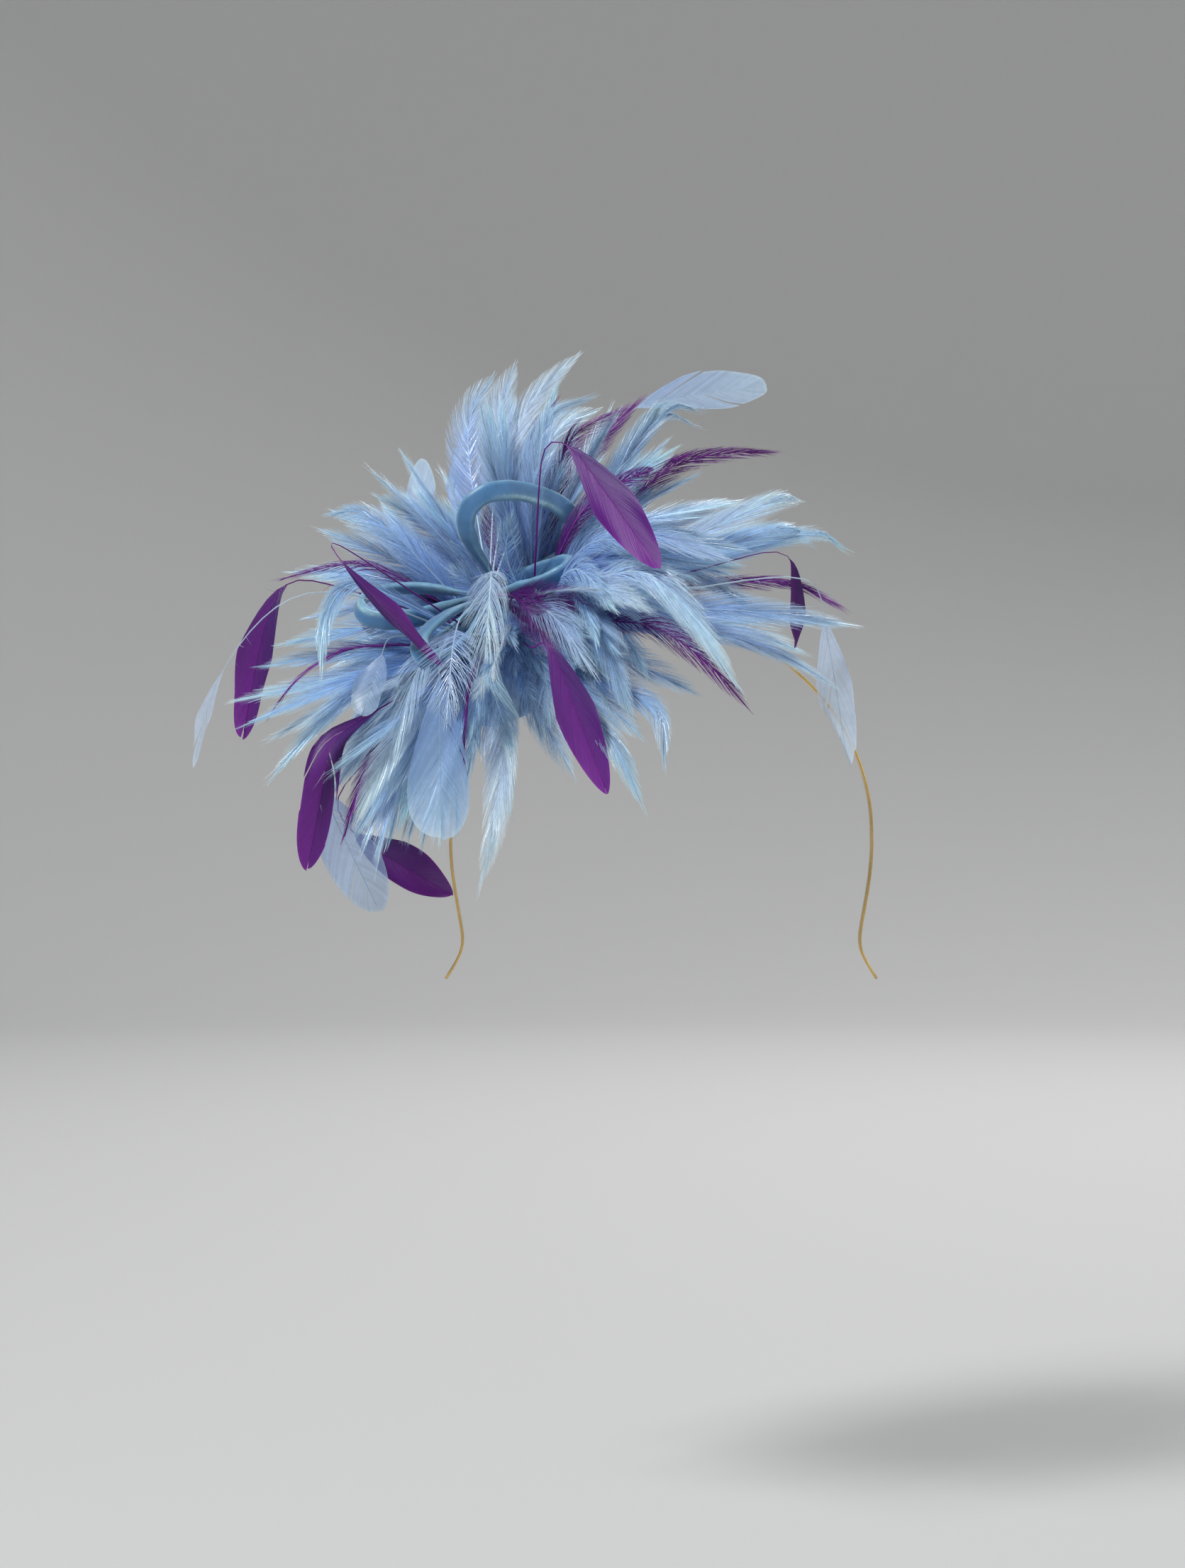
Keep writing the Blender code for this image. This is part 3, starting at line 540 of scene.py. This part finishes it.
def bound_stem(shape, head, radius, top, finish):
    """A bunch of quills bound with thread, from its foot on the base to its rounded head."""
    corners, steps = 20, 72
    height = np.linspace(0.0, top + radius, steps)
    profile = np.interp(height, (0.0, 1.0, 4.0, top - 1.6 * radius, top - 0.4 * radius, top + radius),
                        (STEM_FOOT_RADIUS, STEM_FOOT_RADIUS, STEM_NECK_RADIUS, STEM_NECK_RADIUS - 0.1,
                         radius * 0.92, radius * 0.92))
    dome = np.sqrt(np.clip(radius ** 2 - (height - top) ** 2, 0.0, None))
    profile = np.where(height > top - 0.4 * radius, dome, profile)
    wraps = WRAP_RELIEF * np.sin(height / top * math.tau * STEM_WRAPS)
    profile = profile + wraps * (height < top)
    ring = ring_round_crest(corners)
    rings = head + CREST * (height - top)[:, None, None] + ring * profile[:, None, None]
    tube(shape, rings, settings().thread, finish)


def in_scene(name, data):
    """A new object of that data, in the scene."""
    made = bpy.data.objects.new(name, data)
    bpy.context.scene.collection.objects.link(made)
    return made


def piece(name, shape, finishes, replaces):
    """One object of the gathered shape, which stands for its solid, hides it and is attached to the
    body's empty.
    """
    mesh = bpy.data.meshes.new(name)
    points = np.concatenate(shape.points) * MM
    mesh.from_pydata(points.tolist(), [], np.concatenate(shape.faces).tolist())
    mesh.polygons.foreach_set("material_index", np.concatenate(shape.finishes).astype(np.int32))
    dyes = np.concatenate([np.concatenate(shape.dyes), np.ones((len(points), 1))], axis=1)
    # the colour attribute holds each piece's own colour together with painted light: painted highlights
    # on the satin, painted shade and sheen on the feathers
    mesh.attributes.new("dye", "FLOAT_COLOR", "POINT").data.foreach_set("color", dyes.ravel())
    for finish in finishes:
        mesh.materials.append(finish)
    mesh.validate()
    mesh.shade_smooth()
    made = in_scene(name, mesh)
    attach(made, BODY)
    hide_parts(replaces)


def new_material(name, **values):
    """A material, its tree and its Principled shader, whose own sockets are set by name."""
    made = bpy.data.materials.new(name)
    made.use_nodes = True
    shader = made.node_tree.nodes["Principled BSDF"]
    for key, value in values.items():
        shader.inputs[key.replace("_", " ")].default_value = value
    return made, made.node_tree, shader


def node(tree, kind, **values):
    """A shader node of that kind with its properties, or its input sockets, set by name."""
    made = tree.nodes.new("ShaderNode" + kind)
    for key, value in values.items():
        if hasattr(made, key):
            setattr(made, key, value)
        else:
            made.inputs[key.replace("_", " ")].default_value = value
    return made


def pattern(tree, kind, **values):
    """A procedural pattern laid out on the piece's own coordinates."""
    made = node(tree, kind, **values)
    place = node(tree, "TexCoord")
    tree.links.new(place.outputs["Object"], made.inputs["Vector"])
    return made


def darker(colour, share):
    """That share of a colour."""
    return tuple(part * share for part in colour)


def colour_from(tree, shader, value, dark, light, low=0.0, high=1.0):
    """The shader's colour runs from dark, where the value is low, to light where it is high."""
    ramp = node(tree, "ValToRGB")
    for stop, place, colour in zip(ramp.color_ramp.elements, (low, high), (dark, light)):
        stop.position = place
        stop.color = (*colour, 1.0)
    tree.links.new(value, ramp.inputs["Fac"])
    tree.links.new(ramp.outputs["Color"], shader.inputs["Base Color"])


def relief_from(tree, shader, value, strength, distance=0.0002):
    """Fine relief that follows the value."""
    bump = node(tree, "Bump", Strength=strength, Distance=distance)
    tree.links.new(value, bump.inputs["Height"])
    tree.links.new(bump.outputs["Normal"], shader.inputs["Normal"])


def mottled_dye_and_painted_light(tree, shader, mottle, low, high, **span):
    """The shader's colour is the piece's dye, lighter and darker by the mottle. Gives that colour."""
    # the colour read here includes painted light: the satin's painted highlights and the feathers'
    # painted shade and sheen
    dye = node(tree, "Attribute", attribute_name="dye")
    amount = node(tree, "MapRange", To_Min=low, To_Max=high, **span)
    tint = node(tree, "VectorMath", operation="SCALE")
    tree.links.new(mottle.outputs["Fac"], amount.inputs["Value"])
    tree.links.new(dye.outputs["Color"], tint.inputs[0])
    tree.links.new(amount.outputs["Result"], tint.inputs["Scale"])
    tree.links.new(tint.outputs["Vector"], shader.inputs["Base Color"])
    return tint.outputs["Vector"]


def blend(tree, share, first, second):
    """Two shaders' outputs mixed, with that share of the second."""
    made = node(tree, "MixShader", Fac=share)
    tree.links.new(first, made.inputs[1])
    tree.links.new(second, made.inputs[2])
    return made.outputs["Shader"]


def feather_material(barbs):
    """Dyed barbs with fine mottling and a soft sheen, made when they are first asked for."""
    if barbs.name in bpy.data.materials:
        return bpy.data.materials[barbs.name]
    made, tree, shader = new_material(
        barbs.name, Roughness=barbs.roughness, Sheen_Weight=barbs.sheen, Sheen_Roughness=0.35,
        Sheen_Tint=(*barbs.tint, 1.0), Specular_IOR_Level=0.3 + 2 * barbs.sheen)
    mottle = pattern(tree, "TexNoise", Scale=BARB_SCALE, Detail=4.0, Roughness=0.6)
    tint = mottled_dye_and_painted_light(tree, shader, mottle, 0.82, 1.14)
    fine = pattern(tree, "TexNoise", Scale=BARB_SCALE * 6, Detail=2.0)
    relief_from(tree, shader, fine.outputs["Fac"], 0.25)
    through = node(tree, "BsdfTranslucent")
    tree.links.new(tint, through.inputs["Color"])
    surface = blend(tree, barbs.through, shader.outputs["BSDF"], through.outputs["BSDF"])
    if barbs.gaps:
        clear = node(tree, "BsdfTransparent")
        surface = blend(tree, barbs.gaps, surface, clear.outputs["BSDF"])
    tree.links.new(surface, tree.nodes["Material Output"].inputs["Surface"])
    return made


def thread_material(colour):
    """Matt binding thread with a fine twist."""
    made, tree, shader = new_material("binding_thread", Roughness=0.8)
    twist = pattern(tree, "TexWave", Scale=900.0, Distortion=3.0, Detail=2.0)
    colour_from(tree, shader, twist.outputs["Fac"], darker(colour, 0.6), colour)
    relief_from(tree, shader, twist.outputs["Fac"], 0.5)
    return made


def satin_material():
    """Rouleau satin: a dyed cloth with a painted pale bloom, a highlight where its nap would catch light,
    mottled by a painted sheen, and a fine weave.
    """
    made, tree, shader = new_material("blue_satin_cloth", Roughness=0.42, Sheen_Weight=0.55,
                                      Sheen_Roughness=0.4, Sheen_Tint=(0.78, 0.95, 0.92, 1.0))
    # painted sheen: a noise mottle lightens and darkens the satin's colour
    bloom = pattern(tree, "TexNoise", Scale=260.0, Detail=6.0, Roughness=0.7)
    mottled_dye_and_painted_light(tree, shader, bloom, 0.86, 1.16, From_Min=0.3, From_Max=0.7)
    weave = pattern(tree, "TexNoise", Scale=2600.0, Detail=2.0)
    relief_from(tree, shader, weave.outputs["Fac"], 0.22)
    return made


def cloth_material(colour):
    """The covered base's plain woven cloth."""
    made, tree, shader = new_material("base_cloth", Roughness=0.85, Sheen_Weight=0.3)
    both = node(tree, "Math", operation="MULTIPLY")
    for i, way in enumerate("XY"):
        threads = pattern(tree, "TexWave", Scale=420.0, Distortion=0.4, bands_direction=way)
        tree.links.new(threads.outputs["Fac"], both.inputs[i])
    colour_from(tree, shader, both.outputs["Value"], darker(colour, 0.65), colour)
    relief_from(tree, shader, both.outputs["Value"], 0.5)
    return made


def gold_material(colour):
    """Polished brass-coloured plating with fine scratches along the band and duller patches."""
    made, tree, shader = new_material("gold_plating", Metallic=1.0)
    patch = pattern(tree, "TexNoise", Scale=70.0, Detail=6.0, Roughness=0.65)
    colour_from(tree, shader, patch.outputs["Fac"], darker(colour, 0.72), colour, 0.3, 0.62)
    dull = node(tree, "MapRange", To_Min=0.34, To_Max=0.18)
    tree.links.new(patch.outputs["Fac"], dull.inputs["Value"])
    tree.links.new(dull.outputs["Result"], shader.inputs["Roughness"])
    stretch = pattern(tree, "Mapping", Scale=(1.0, 30.0, 1.0))
    scratch = node(tree, "TexNoise", Scale=180.0, Detail=4.0)
    tree.links.new(stretch.outputs["Vector"], scratch.inputs["Vector"])
    relief_from(tree, shader, scratch.outputs["Fac"], 0.12, 0.0001)
    return made


def paper_material(colour):
    """The matt paper of the floor and backdrop, with the faintest mottling."""
    made, tree, shader = new_material("floor_paper", Roughness=0.9)
    noise = node(tree, "TexNoise", Scale=3.0, Detail=3.0)
    colour_from(tree, shader, noise.outputs["Fac"], darker(colour, 0.97), colour)
    return made


def colour_property(name, description, default):
    """A colour that the panel shows."""
    return FloatVectorProperty(name=name, description=description, subtype="COLOR", size=3,
                               min=0.0, max=1.0, default=default)


class FascinatorSettings(PropertyGroup):
    """Sizes and colours that a user would change."""

    # the deep colours by the stem are partly the feathers' own colour and partly painted shade of the
    # dense middle of each plume
    blue_deep: colour_property("Deep blue", "Dye of the blue feathers by the stem", (0.13, 0.30, 0.75))
    blue_pale: colour_property("Pale blue", "Dye of the blue feathers at their tips", (0.54, 0.75, 0.88))
    purple_deep: colour_property("Deep purple", "Dye of the purple feathers by the stem",
                                 (0.045, 0.006, 0.12))
    purple_pale: colour_property("Light purple", "Dye of the purple feathers at their tips",
                                 (0.155, 0.009, 0.235))
    base: colour_property("Base cloth", "Cloth that covers the base", (0.20, 0.33, 0.58))
    thread: colour_property("Thread", "Thread that binds the stems", (0.09, 0.17, 0.36))
    satin: colour_property("Satin", "Dye of the satin loops", (0.045, 0.145, 0.30))
    # painted highlight: this colour paints the light that the satin's rolled edges catch, as a paler rim
    satin_painted_rim_highlight: colour_property("Satin rim", "Paler dye along the rolled edges of the satin",
                               (0.22, 0.42, 0.55))
    # painted highlight: this colour paints a pale reflection of light along the inner edge of the satin
    satin_painted_bloom_highlight: colour_property("Satin bloom", "Pale bloom along the inner edge of the satin",
                                 (0.40, 0.62, 0.62))
    gold: colour_property("Gold", "Plating of the headband", (0.80, 0.56, 0.22))
    floor: colour_property("Floor", "Plain floor and backdrop", (0.46, 0.46, 0.455))
    fullness: FloatProperty(name="Fullness", subtype="FACTOR", min=0.0, max=1.2, default=1.0,
                            description="Share of the shorter hackles that fill each bunch")
    quill_radius: FloatProperty(name="Quill radius", subtype="DISTANCE", unit="LENGTH", min=0.0001,
                                max=0.002, default=0.0004,
                                description="Radius of a shaft where it is thickest")
    floor_drop: FloatProperty(name="Floor drop", subtype="DISTANCE", unit="LENGTH", min=0.14, max=2.0,
                              default=0.34, description="How far the floor lies below the band's top")


def settings():
    """The values that the panel shows."""
    return bpy.context.scene.fascinator


def blue_dyes(rng):
    """The deep and the pale dye of one blue feather, with its own slight shade."""
    # the deep colour is partly painted shade of the plume's dense middle
    warm = 1 + rng.normal(0.0, 0.018, 3)
    light = rng.normal(1.0, 0.12)
    white = rng.choice(WHITENESS) * rng.random()
    dyes = [np.array(dye) * warm * light for dye in (settings().blue_deep, settings().blue_pale)]
    return [mix(dye, WHITE, white) for dye in dyes]


def purple_dyes(rng):
    """The deep and the pale dye of one purple feather, with its own slight shade."""
    # the deep colour is partly painted shade of the plume's dense middle
    light = rng.normal(1.0, 0.10)
    return [np.array(dye) * light for dye in (settings().purple_deep, settings().purple_pale)]


def hackle(shape, quill, width, style, dyes, rng, bare=0.14):
    """One whole hackle: its shaft, its barbs and the fluff at its foot. bare is where the barbs start."""
    shaft(shape, quill, settings().quill_radius / MM, np.clip(dyes[1] * 1.1, 0.0, 1.0))
    vane(shape, quill, bare, width / 2, style, dyes, rng)
    fluff(shape, quill, bare, 16, 9.0, mix(dyes[0], dyes[1], 0.45), rng)


def add_plumes(shape, node, make_dyes, rng):
    """The further plumes that go with one solid."""
    for row in PLUMES:
        if row.node == node:
            middle, tip = np.array(row.middle, float), np.array(row.tip, float)
            root = CORE + unit(middle - CORE) * 2.0
            line = clear_of_fit(smooth_line([root, middle, tip], 8))
            across = unit(np.cross(unit(tip - middle), (-0.2, -0.9, 0.3)))
            dyes = [mix(dye, WHITE, row.white) for dye in make_dyes(rng)]
            hackle(shape, Quill(line, across), row.width, row.style, dyes, rng, row.bare)


class FASCINATOR_OT_stage(Operator):
    """Sets up the camera at the photograph's angle, the plain pale floor and the soft light"""

    bl_idname = "fascinator.stage"
    bl_label = "Stage"

    def execute(self, context):
        scene = context.scene
        lens = bpy.data.cameras.new("camera")
        lens.lens = 85.0
        lens.sensor_fit = "VERTICAL"
        lens.sensor_height = 36.0
        camera = in_scene("camera", lens)
        camera.location = (-0.025, -1.347, -0.026)
        camera.rotation_euler = Euler((math.radians(90 - 1.4), 0.0, 0.0))
        scene.camera = camera
        scene.view_settings.view_transform = "Standard"

        flat, bend, height, turns = 2.2, 0.9, 2.2, 96
        profile = [(0.0, 0.0), (flat, 0.0)]
        for i in range(1, 13):
            t = math.radians(90.0 * i / 12)
            profile.append((flat + bend * math.sin(t), bend - bend * math.cos(t)))
        profile.append((flat + bend, height))
        points = [(r * math.cos(math.tau * k / turns), r * math.sin(math.tau * k / turns),
                   z - settings().floor_drop) for r, z in profile for k in range(turns)]
        faces = [(i * turns + k, i * turns + (k + 1) % turns, (i + 1) * turns + (k + 1) % turns,
                  (i + 1) * turns + k) for i in range(len(profile) - 1) for k in range(turns)]
        mesh = bpy.data.meshes.new("floor")
        mesh.from_pydata(points, [], faces)
        mesh.materials.append(paper_material(settings().floor))
        mesh.shade_smooth()
        in_scene("floor", mesh)

        for name, place, energy, size in (("key", (-1.25, -1.45, 1.75), 66.0, 0.50),
                                          ("fill", (1.9, -1.5, 0.9), 14.0, 1.6),
                                          ("back", (0.7, 1.9, 1.5), 44.0, 0.9)):
            lamp = bpy.data.lights.new(name, "AREA")
            lamp.energy = energy
            lamp.size = size
            light = in_scene(name, lamp)
            light.location = place
            aim = Vector((-0.03, -0.02, 0.0)) - light.location
            light.rotation_euler = aim.to_track_quat("-Z", "Y").to_euler()
        world = bpy.data.worlds.new("studio")
        world.use_nodes = True
        world.node_tree.nodes["Background"].inputs["Color"].default_value = (0.80, 0.83, 0.88, 1.0)
        world.node_tree.nodes["Background"].inputs["Strength"].default_value = 0.32
        scene.world = world
        return {"FINISHED"}


class FASCINATOR_OT_headband(Operator):
    """Makes the plated headband, a flat spring strip with eased edges"""

    bl_idname = "fascinator.headband"
    bl_label = "Headband"

    def execute(self, context):
        first = math.asin(BAND_FLAT_HALF / BAND_RADIUS)
        turns = np.linspace(first, math.pi / 2, 60)
        drop = BAND_RADIUS * math.cos(first)
        arch = [(BAND_RADIUS * math.sin(t), BAND_RADIUS * math.cos(t) - drop) for t in turns]
        half = [(0.0, 0.0), *arch, *BAND_SIDE]
        knots = [(-x, 0.0, z) for x, z in half[:0:-1]] + [(x, 0.0, z) for x, z in half]
        count = 420
        line = smooth_line(knots, count)
        way = unit(np.gradient(line, axis=0))
        out = np.cross(way, (0.0, -1.0, 0.0))
        line = line + out * (BAND_THICKNESS / 2)
        reached = np.linspace(0.0, np.linalg.norm(np.diff(line, axis=0), axis=1).sum(), count)
        end = np.clip(np.minimum(reached, reached[-1] - reached) / BAND_TIP_LENGTH, 0.0, 1.0)
        narrow = BAND_TIP_SHARE + (1 - BAND_TIP_SHARE) * np.sqrt(1 - (1 - end) ** 2)
        corner = np.linspace(0.0, math.pi / 2, 4)
        outline = []
        for i, (x, z) in enumerate(((1, 1), (-1, 1), (-1, -1), (1, -1))):
            for t in corner + i * math.pi / 2:
                outline.append((x * (BAND_WIDTH / 2 - BAND_EDGE) + BAND_EDGE * math.cos(t),
                                z * (BAND_THICKNESS / 2 - BAND_EDGE) + BAND_EDGE * math.sin(t)))
        outline = np.array(outline)
        rings = (line[:, None] + out[:, None] * outline[:, 1][:, None]
                 + np.array((0.0, 1.0, 0.0)) * (outline[:, 0] * narrow[:, None])[..., None])
        shape = Shape()
        tube(shape, rings, WHITE)
        piece("band", shape, [gold_material(settings().gold)], "headband")
        return {"FINISHED"}


class FASCINATOR_OT_base(Operator):
    """Makes the cloth-covered base, dished to lie on the band"""

    bl_idname = "fascinator.base"
    bl_label = "Covered base"

    def execute(self, context):
        rng = generator("base_pad")
        corners = 96
        half = BASE_THICKNESS / 2
        middle = BASE_INNER_RADIUS + half
        edge = math.radians(BASE_HALF_ANGLE)
        spans = np.linspace(0.02, edge, 18)
        rim = edge + np.pi * np.linspace(0.0, 1.0, 9)[1:-1]
        profile = [(BASE_OUTER_RADIUS * np.sin(t), BASE_OUTER_RADIUS * np.cos(t)) for t in spans]
        profile += [(middle * np.sin(edge) + half * np.sin(t), middle * np.cos(edge) + half * np.cos(t))
                    for t in rim]
        profile += [(BASE_INNER_RADIUS * np.sin(t), BASE_INNER_RADIUS * np.cos(t)) for t in spans[::-1]]
        turns = np.arange(corners) * math.tau / corners
        ring = ring_round_crest(corners)
        pucker = 0.12 * np.sin(turns * 31 + rng.normal(0.0, 0.4, corners))
        rings = []
        for i, (radius, height) in enumerate(profile):
            under = max(0.0, i - len(spans)) / (len(profile) - len(spans))
            sink = pucker * min(1.0, 3 * under) * (radius / 29.0)
            rings.append(FIT_CENTRE + CREST * (height + sink)[:, None] + ring * radius)
        shape = Shape()
        tube(shape, np.array(rings), settings().base)
        piece("base_cover", shape, [cloth_material(settings().base)], "base_pad")
        return {"FINISHED"}


class FASCINATOR_OT_core_stem(Operator):
    """Makes the bound stem in the middle, which the satin loops are sewn to"""

    bl_idname = "fascinator.core_stem"
    bl_label = "Core stem"

    def execute(self, context):
        shape = Shape()
        bound_stem(shape, CORE, CORE_HEAD_RADIUS, CORE_TOP, 0)
        thread = thread_material(settings().thread)
        piece("core_binding", shape, [thread], "core_stem")
        return {"FINISHED"}


class FASCINATOR_OT_satin_loops(Operator):
    """Makes the satin loops as soft rolled tubes"""

    bl_idname = "fascinator.satin_loops"
    bl_label = "Satin loops"

    def execute(self, context):
        satin = satin_material()
        for name in sorted(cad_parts):
            if name.startswith("satin_loop"):
                self.loop(name, satin)
        return {"FINISHED"}

    def loop(self, name, satin):
        """One loop, flatter in the middle than at its rolled edges."""
        count, corners = 150, 28
        fine = np.linspace(0.0, 1.0, count)
        line, across, width = loop_line(name, fine)
        way = unit(np.gradient(line, axis=0))
        across = unit(across - way * (across * way).sum(1, keepdims=True))
        up = np.cross(across, way)
        turns = np.arange(corners) * math.tau / corners
        flat = np.sign(np.cos(turns)) * np.abs(np.cos(turns)) ** 0.75
        tall = np.sign(np.sin(turns)) * np.abs(np.sin(turns)) ** 0.9
        rng = generator(name)
        wave = np.zeros(count)
        for size, per in ((0.05, 5), (0.035, 9), (0.02, 17)):
            wave += size * np.sin(fine * math.tau * per + rng.uniform(0.0, math.tau))
        half = (width / 2 * (1 + wave * 0.5))[:, None, None]
        thick = (width * 0.245 * (1 + wave))[:, None, None]
        dish = 0.16 * (1 - np.abs(flat) ** 2) * np.sign(tall)
        rings = (line[:, None] + across[:, None] * flat[:, None] * half
                 + up[:, None] * (tall - dish)[:, None] * thick)
        shape = Shape()
        # painted highlight: inner is the side of the loop that faces its middle, where a pale bloom is
        # painted
        inner = math.copysign(1.0, ((line.mean(0) - line) * across).sum())
        # painted highlight: rim makes the rolled edges of the tube paler, standing in for the light that
        # they catch
        rim = np.clip(np.abs(flat) * 1.6 - 0.9, 0.0, 1.0) * 0.75
        # painted highlight: bloom paints a pale stripe along that inner side, a reflection of light
        bloom = np.exp(-((flat * inner - 0.62) / 0.22) ** 2) * 0.8
        # patches and the jitter below make the painted highlight come and go along the loop
        patches = np.clip(0.35 + 0.65 * np.sin(fine * math.tau * 2.3 + 0.4), 0.0, 1.0)[:, None]
        painted_bloom_jitter = rng.uniform(0.55, 1.0, (count, corners))
        # the colour runs from the satin's own colour to the painted rim highlight, then to the painted
        # bloom highlight
        dye = mix(settings().satin, settings().satin_painted_rim_highlight, np.repeat(rim[None], count, axis=0))
        dye = mix(dye, settings().satin_painted_bloom_highlight, bloom * patches * painted_bloom_jitter)
        tube(shape, rings, dye)
        piece(name.replace("satin_loop", "rouleau"), shape, [satin], name)


def loop_line(name, fine):
    """The middle of a satin loop's solid at those shares of it, with the way across it and its width."""
    points, near = corners_of(name)
    ends = [end_section(points, near, i, LOOP_END_REACH) for i in range(len(points))]
    ends = [end for end in ends if len(end) == LOOP_CORNERS]
    start = min(ends, key=lambda end: min(np.linalg.norm(points[list(end)] - CORE, axis=1)))
    sections = [widest(ring) for ring in walk(points, near, start)]
    across = [sections[0][1]]
    for _, way, _ in sections[1:]:
        across.append(way * math.copysign(1.0, way.dot(across[-1])))
    steps = np.linspace(0.0, 1.0, len(sections))
    line = smooth_line([row[0] for row in sections], len(fine))
    width = np.interp(fine, steps, [row[2] for row in sections])
    return line, unit(spread(fine, steps, np.array(across))), width


class FASCINATOR_OT_blue_hackles(Operator):
    """Makes the bunches of blue hackles, each barb by barb round its bound stem"""

    bl_idname = "fascinator.blue_hackles"
    bl_label = "Blue hackles"

    def execute(self, context):
        barbs = feather_material(BLUE_BARBS)
        thread = thread_material(settings().thread)
        for bunch, head in enumerate(stem_heads(), 1):
            name = f"blue_hackles_{bunch}"
            rng = generator(name)
            shape = Shape()
            bound_stem(shape, head, STEM_HEAD_RADIUS, STEM_TOP, 1)
            for quill, width in bunch_quills(name, head):
                dyes = blue_dyes(rng)
                for accent in ACCENTS:
                    if np.linalg.norm(quill.line[-1] - accent.tip) < ACCENT_REACH:
                        dyes = [mix(dye, WHITE, accent.white) for dye in dyes]
                        width *= accent.broader
                hackle(shape, quill, width, HACKLE, dyes, rng)
            add_plumes(shape, name, blue_dyes, rng)
            for fill in FILLS:
                if fill.bunch == bunch:
                    for quill, width in fan_quills(fill, settings().fullness, rng):
                        hackle(shape, quill, width, HACKLE, blue_dyes(rng), rng)
            piece(name.replace("hackles", "plume"), shape, [barbs, thread], name)
        return {"FINISHED"}


class FASCINATOR_OT_purple_hackles(Operator):
    """Makes the single purple hackles"""

    bl_idname = "fascinator.purple_hackles"
    bl_label = "Purple hackles"

    def execute(self, context):
        for name in sorted(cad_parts):
            if name.startswith("purple_hackle"):
                rng = generator(name)
                sections = single_sections(name)
                quill = Quill([row[0] for row in sections], sections[3][1])
                shape = Shape()
                hackle(shape, quill, sections[3][2], SLIM_HACKLE, purple_dyes(rng), rng)
                add_plumes(shape, name, purple_dyes, rng)
                barbs = feather_material(PURPLE_BARBS)
                piece(name.replace("hackle", "plume"), shape, [barbs], name)
        return {"FINISHED"}


def single_sections(name):
    """The sections of a single feather's solid, from its root to its tip."""
    points, near = corners_of(name)
    away = np.linalg.norm(points - HUB, axis=1)
    return [widest(ring) for ring in walk(points, near, set(np.argsort(away)[:4].tolist()))]


class FASCINATOR_OT_leaves(Operator):
    """Makes the leaf-tipped feathers: a bare arched quill with a close vane at its end"""

    bl_idname = "fascinator.leaves"
    bl_label = "Leaf-tipped feathers"

    def execute(self, context):
        for row in LEAVES:
            self.leaf(row)
        return {"FINISHED"}

    def leaf(self, row):
        """One feather, its vane on the end of its solid's line."""
        name = row.node
        rng = generator(name)
        purple = name.startswith("purple")
        sections = single_sections(name)
        middles = np.array([part[0] for part in sections])
        reached = np.concatenate([[0.0], np.cumsum(np.linalg.norm(np.diff(middles, axis=0), axis=1))])
        start = reached[LEAF_NECK_SECTION] / reached[-1] - row.start
        widths = [part[2] for part in sections[LEAF_NECK_SECTION:]]
        broad = LEAF_NECK_SECTION + int(np.argmax(widths))
        quill = Quill(middles, sections[broad][1], reached[broad] / reached[-1], LEAF_EASE)
        roll = math.radians(row.roll)
        quill.across, quill.up = (quill.across * math.cos(roll) + quill.up * math.sin(roll),
                                  quill.up * math.cos(roll) - quill.across * math.sin(roll))
        if quill.up[QUILL_STEPS // 2].dot((-0.1, -1.0, 0.2)) < 0:
            quill.across, quill.up = -quill.across, -quill.up
        dyes = purple_dyes(rng) if purple else [mix(dye, LEAF_GREY, 0.3) for dye in blue_dyes(rng)]
        shape = Shape()
        shaft(shape, quill, settings().quill_radius / MM, dyes[1] * 0.9)
        close_vane(shape, quill, start, max(widths) / 2 * row.broader, row, dyes, rng)
        fluff(shape, quill, start, 10, 5.0, mix(dyes[0], dyes[1], 0.6), rng)
        barbs = feather_material(PURPLE_BARBS if purple else BLUE_SHEET)
        piece(name.replace("leaf", "vane"), shape, [barbs], name)


class FASCINATOR_PT_panel(Panel):
    """Lists the settings and the pieces"""

    bl_idname = "FASCINATOR_PT_panel"
    bl_label = "Feather fascinator"
    bl_space_type = "VIEW_3D"
    bl_region_type = "UI"
    bl_category = "Fascinator"

    def draw(self, context):
        for name in FascinatorSettings.__annotations__:
            self.layout.prop(context.scene.fascinator, name)
        for operator in OPERATORS:
            self.layout.operator(operator.bl_idname)


OPERATORS = (FASCINATOR_OT_stage, FASCINATOR_OT_headband, FASCINATOR_OT_base, FASCINATOR_OT_core_stem,
             FASCINATOR_OT_satin_loops, FASCINATOR_OT_blue_hackles, FASCINATOR_OT_purple_hackles,
             FASCINATOR_OT_leaves)
CLASSES = (FascinatorSettings, *OPERATORS, FASCINATOR_PT_panel)


def register():
    for made in CLASSES:
        bpy.utils.register_class(made)
    bpy.types.Scene.fascinator = PointerProperty(type=FascinatorSettings)


def unregister():
    del bpy.types.Scene.fascinator
    for made in reversed(CLASSES):
        bpy.utils.unregister_class(made)


def main():
    """Makes the stage and every piece."""
    register()
    bpy.ops.fascinator.stage()
    bpy.ops.fascinator.headband()
    bpy.ops.fascinator.base()
    bpy.ops.fascinator.core_stem()
    bpy.ops.fascinator.satin_loops()
    bpy.ops.fascinator.blue_hackles()
    bpy.ops.fascinator.purple_hackles()
    bpy.ops.fascinator.leaves()


if __name__ == "__main__":
    main()
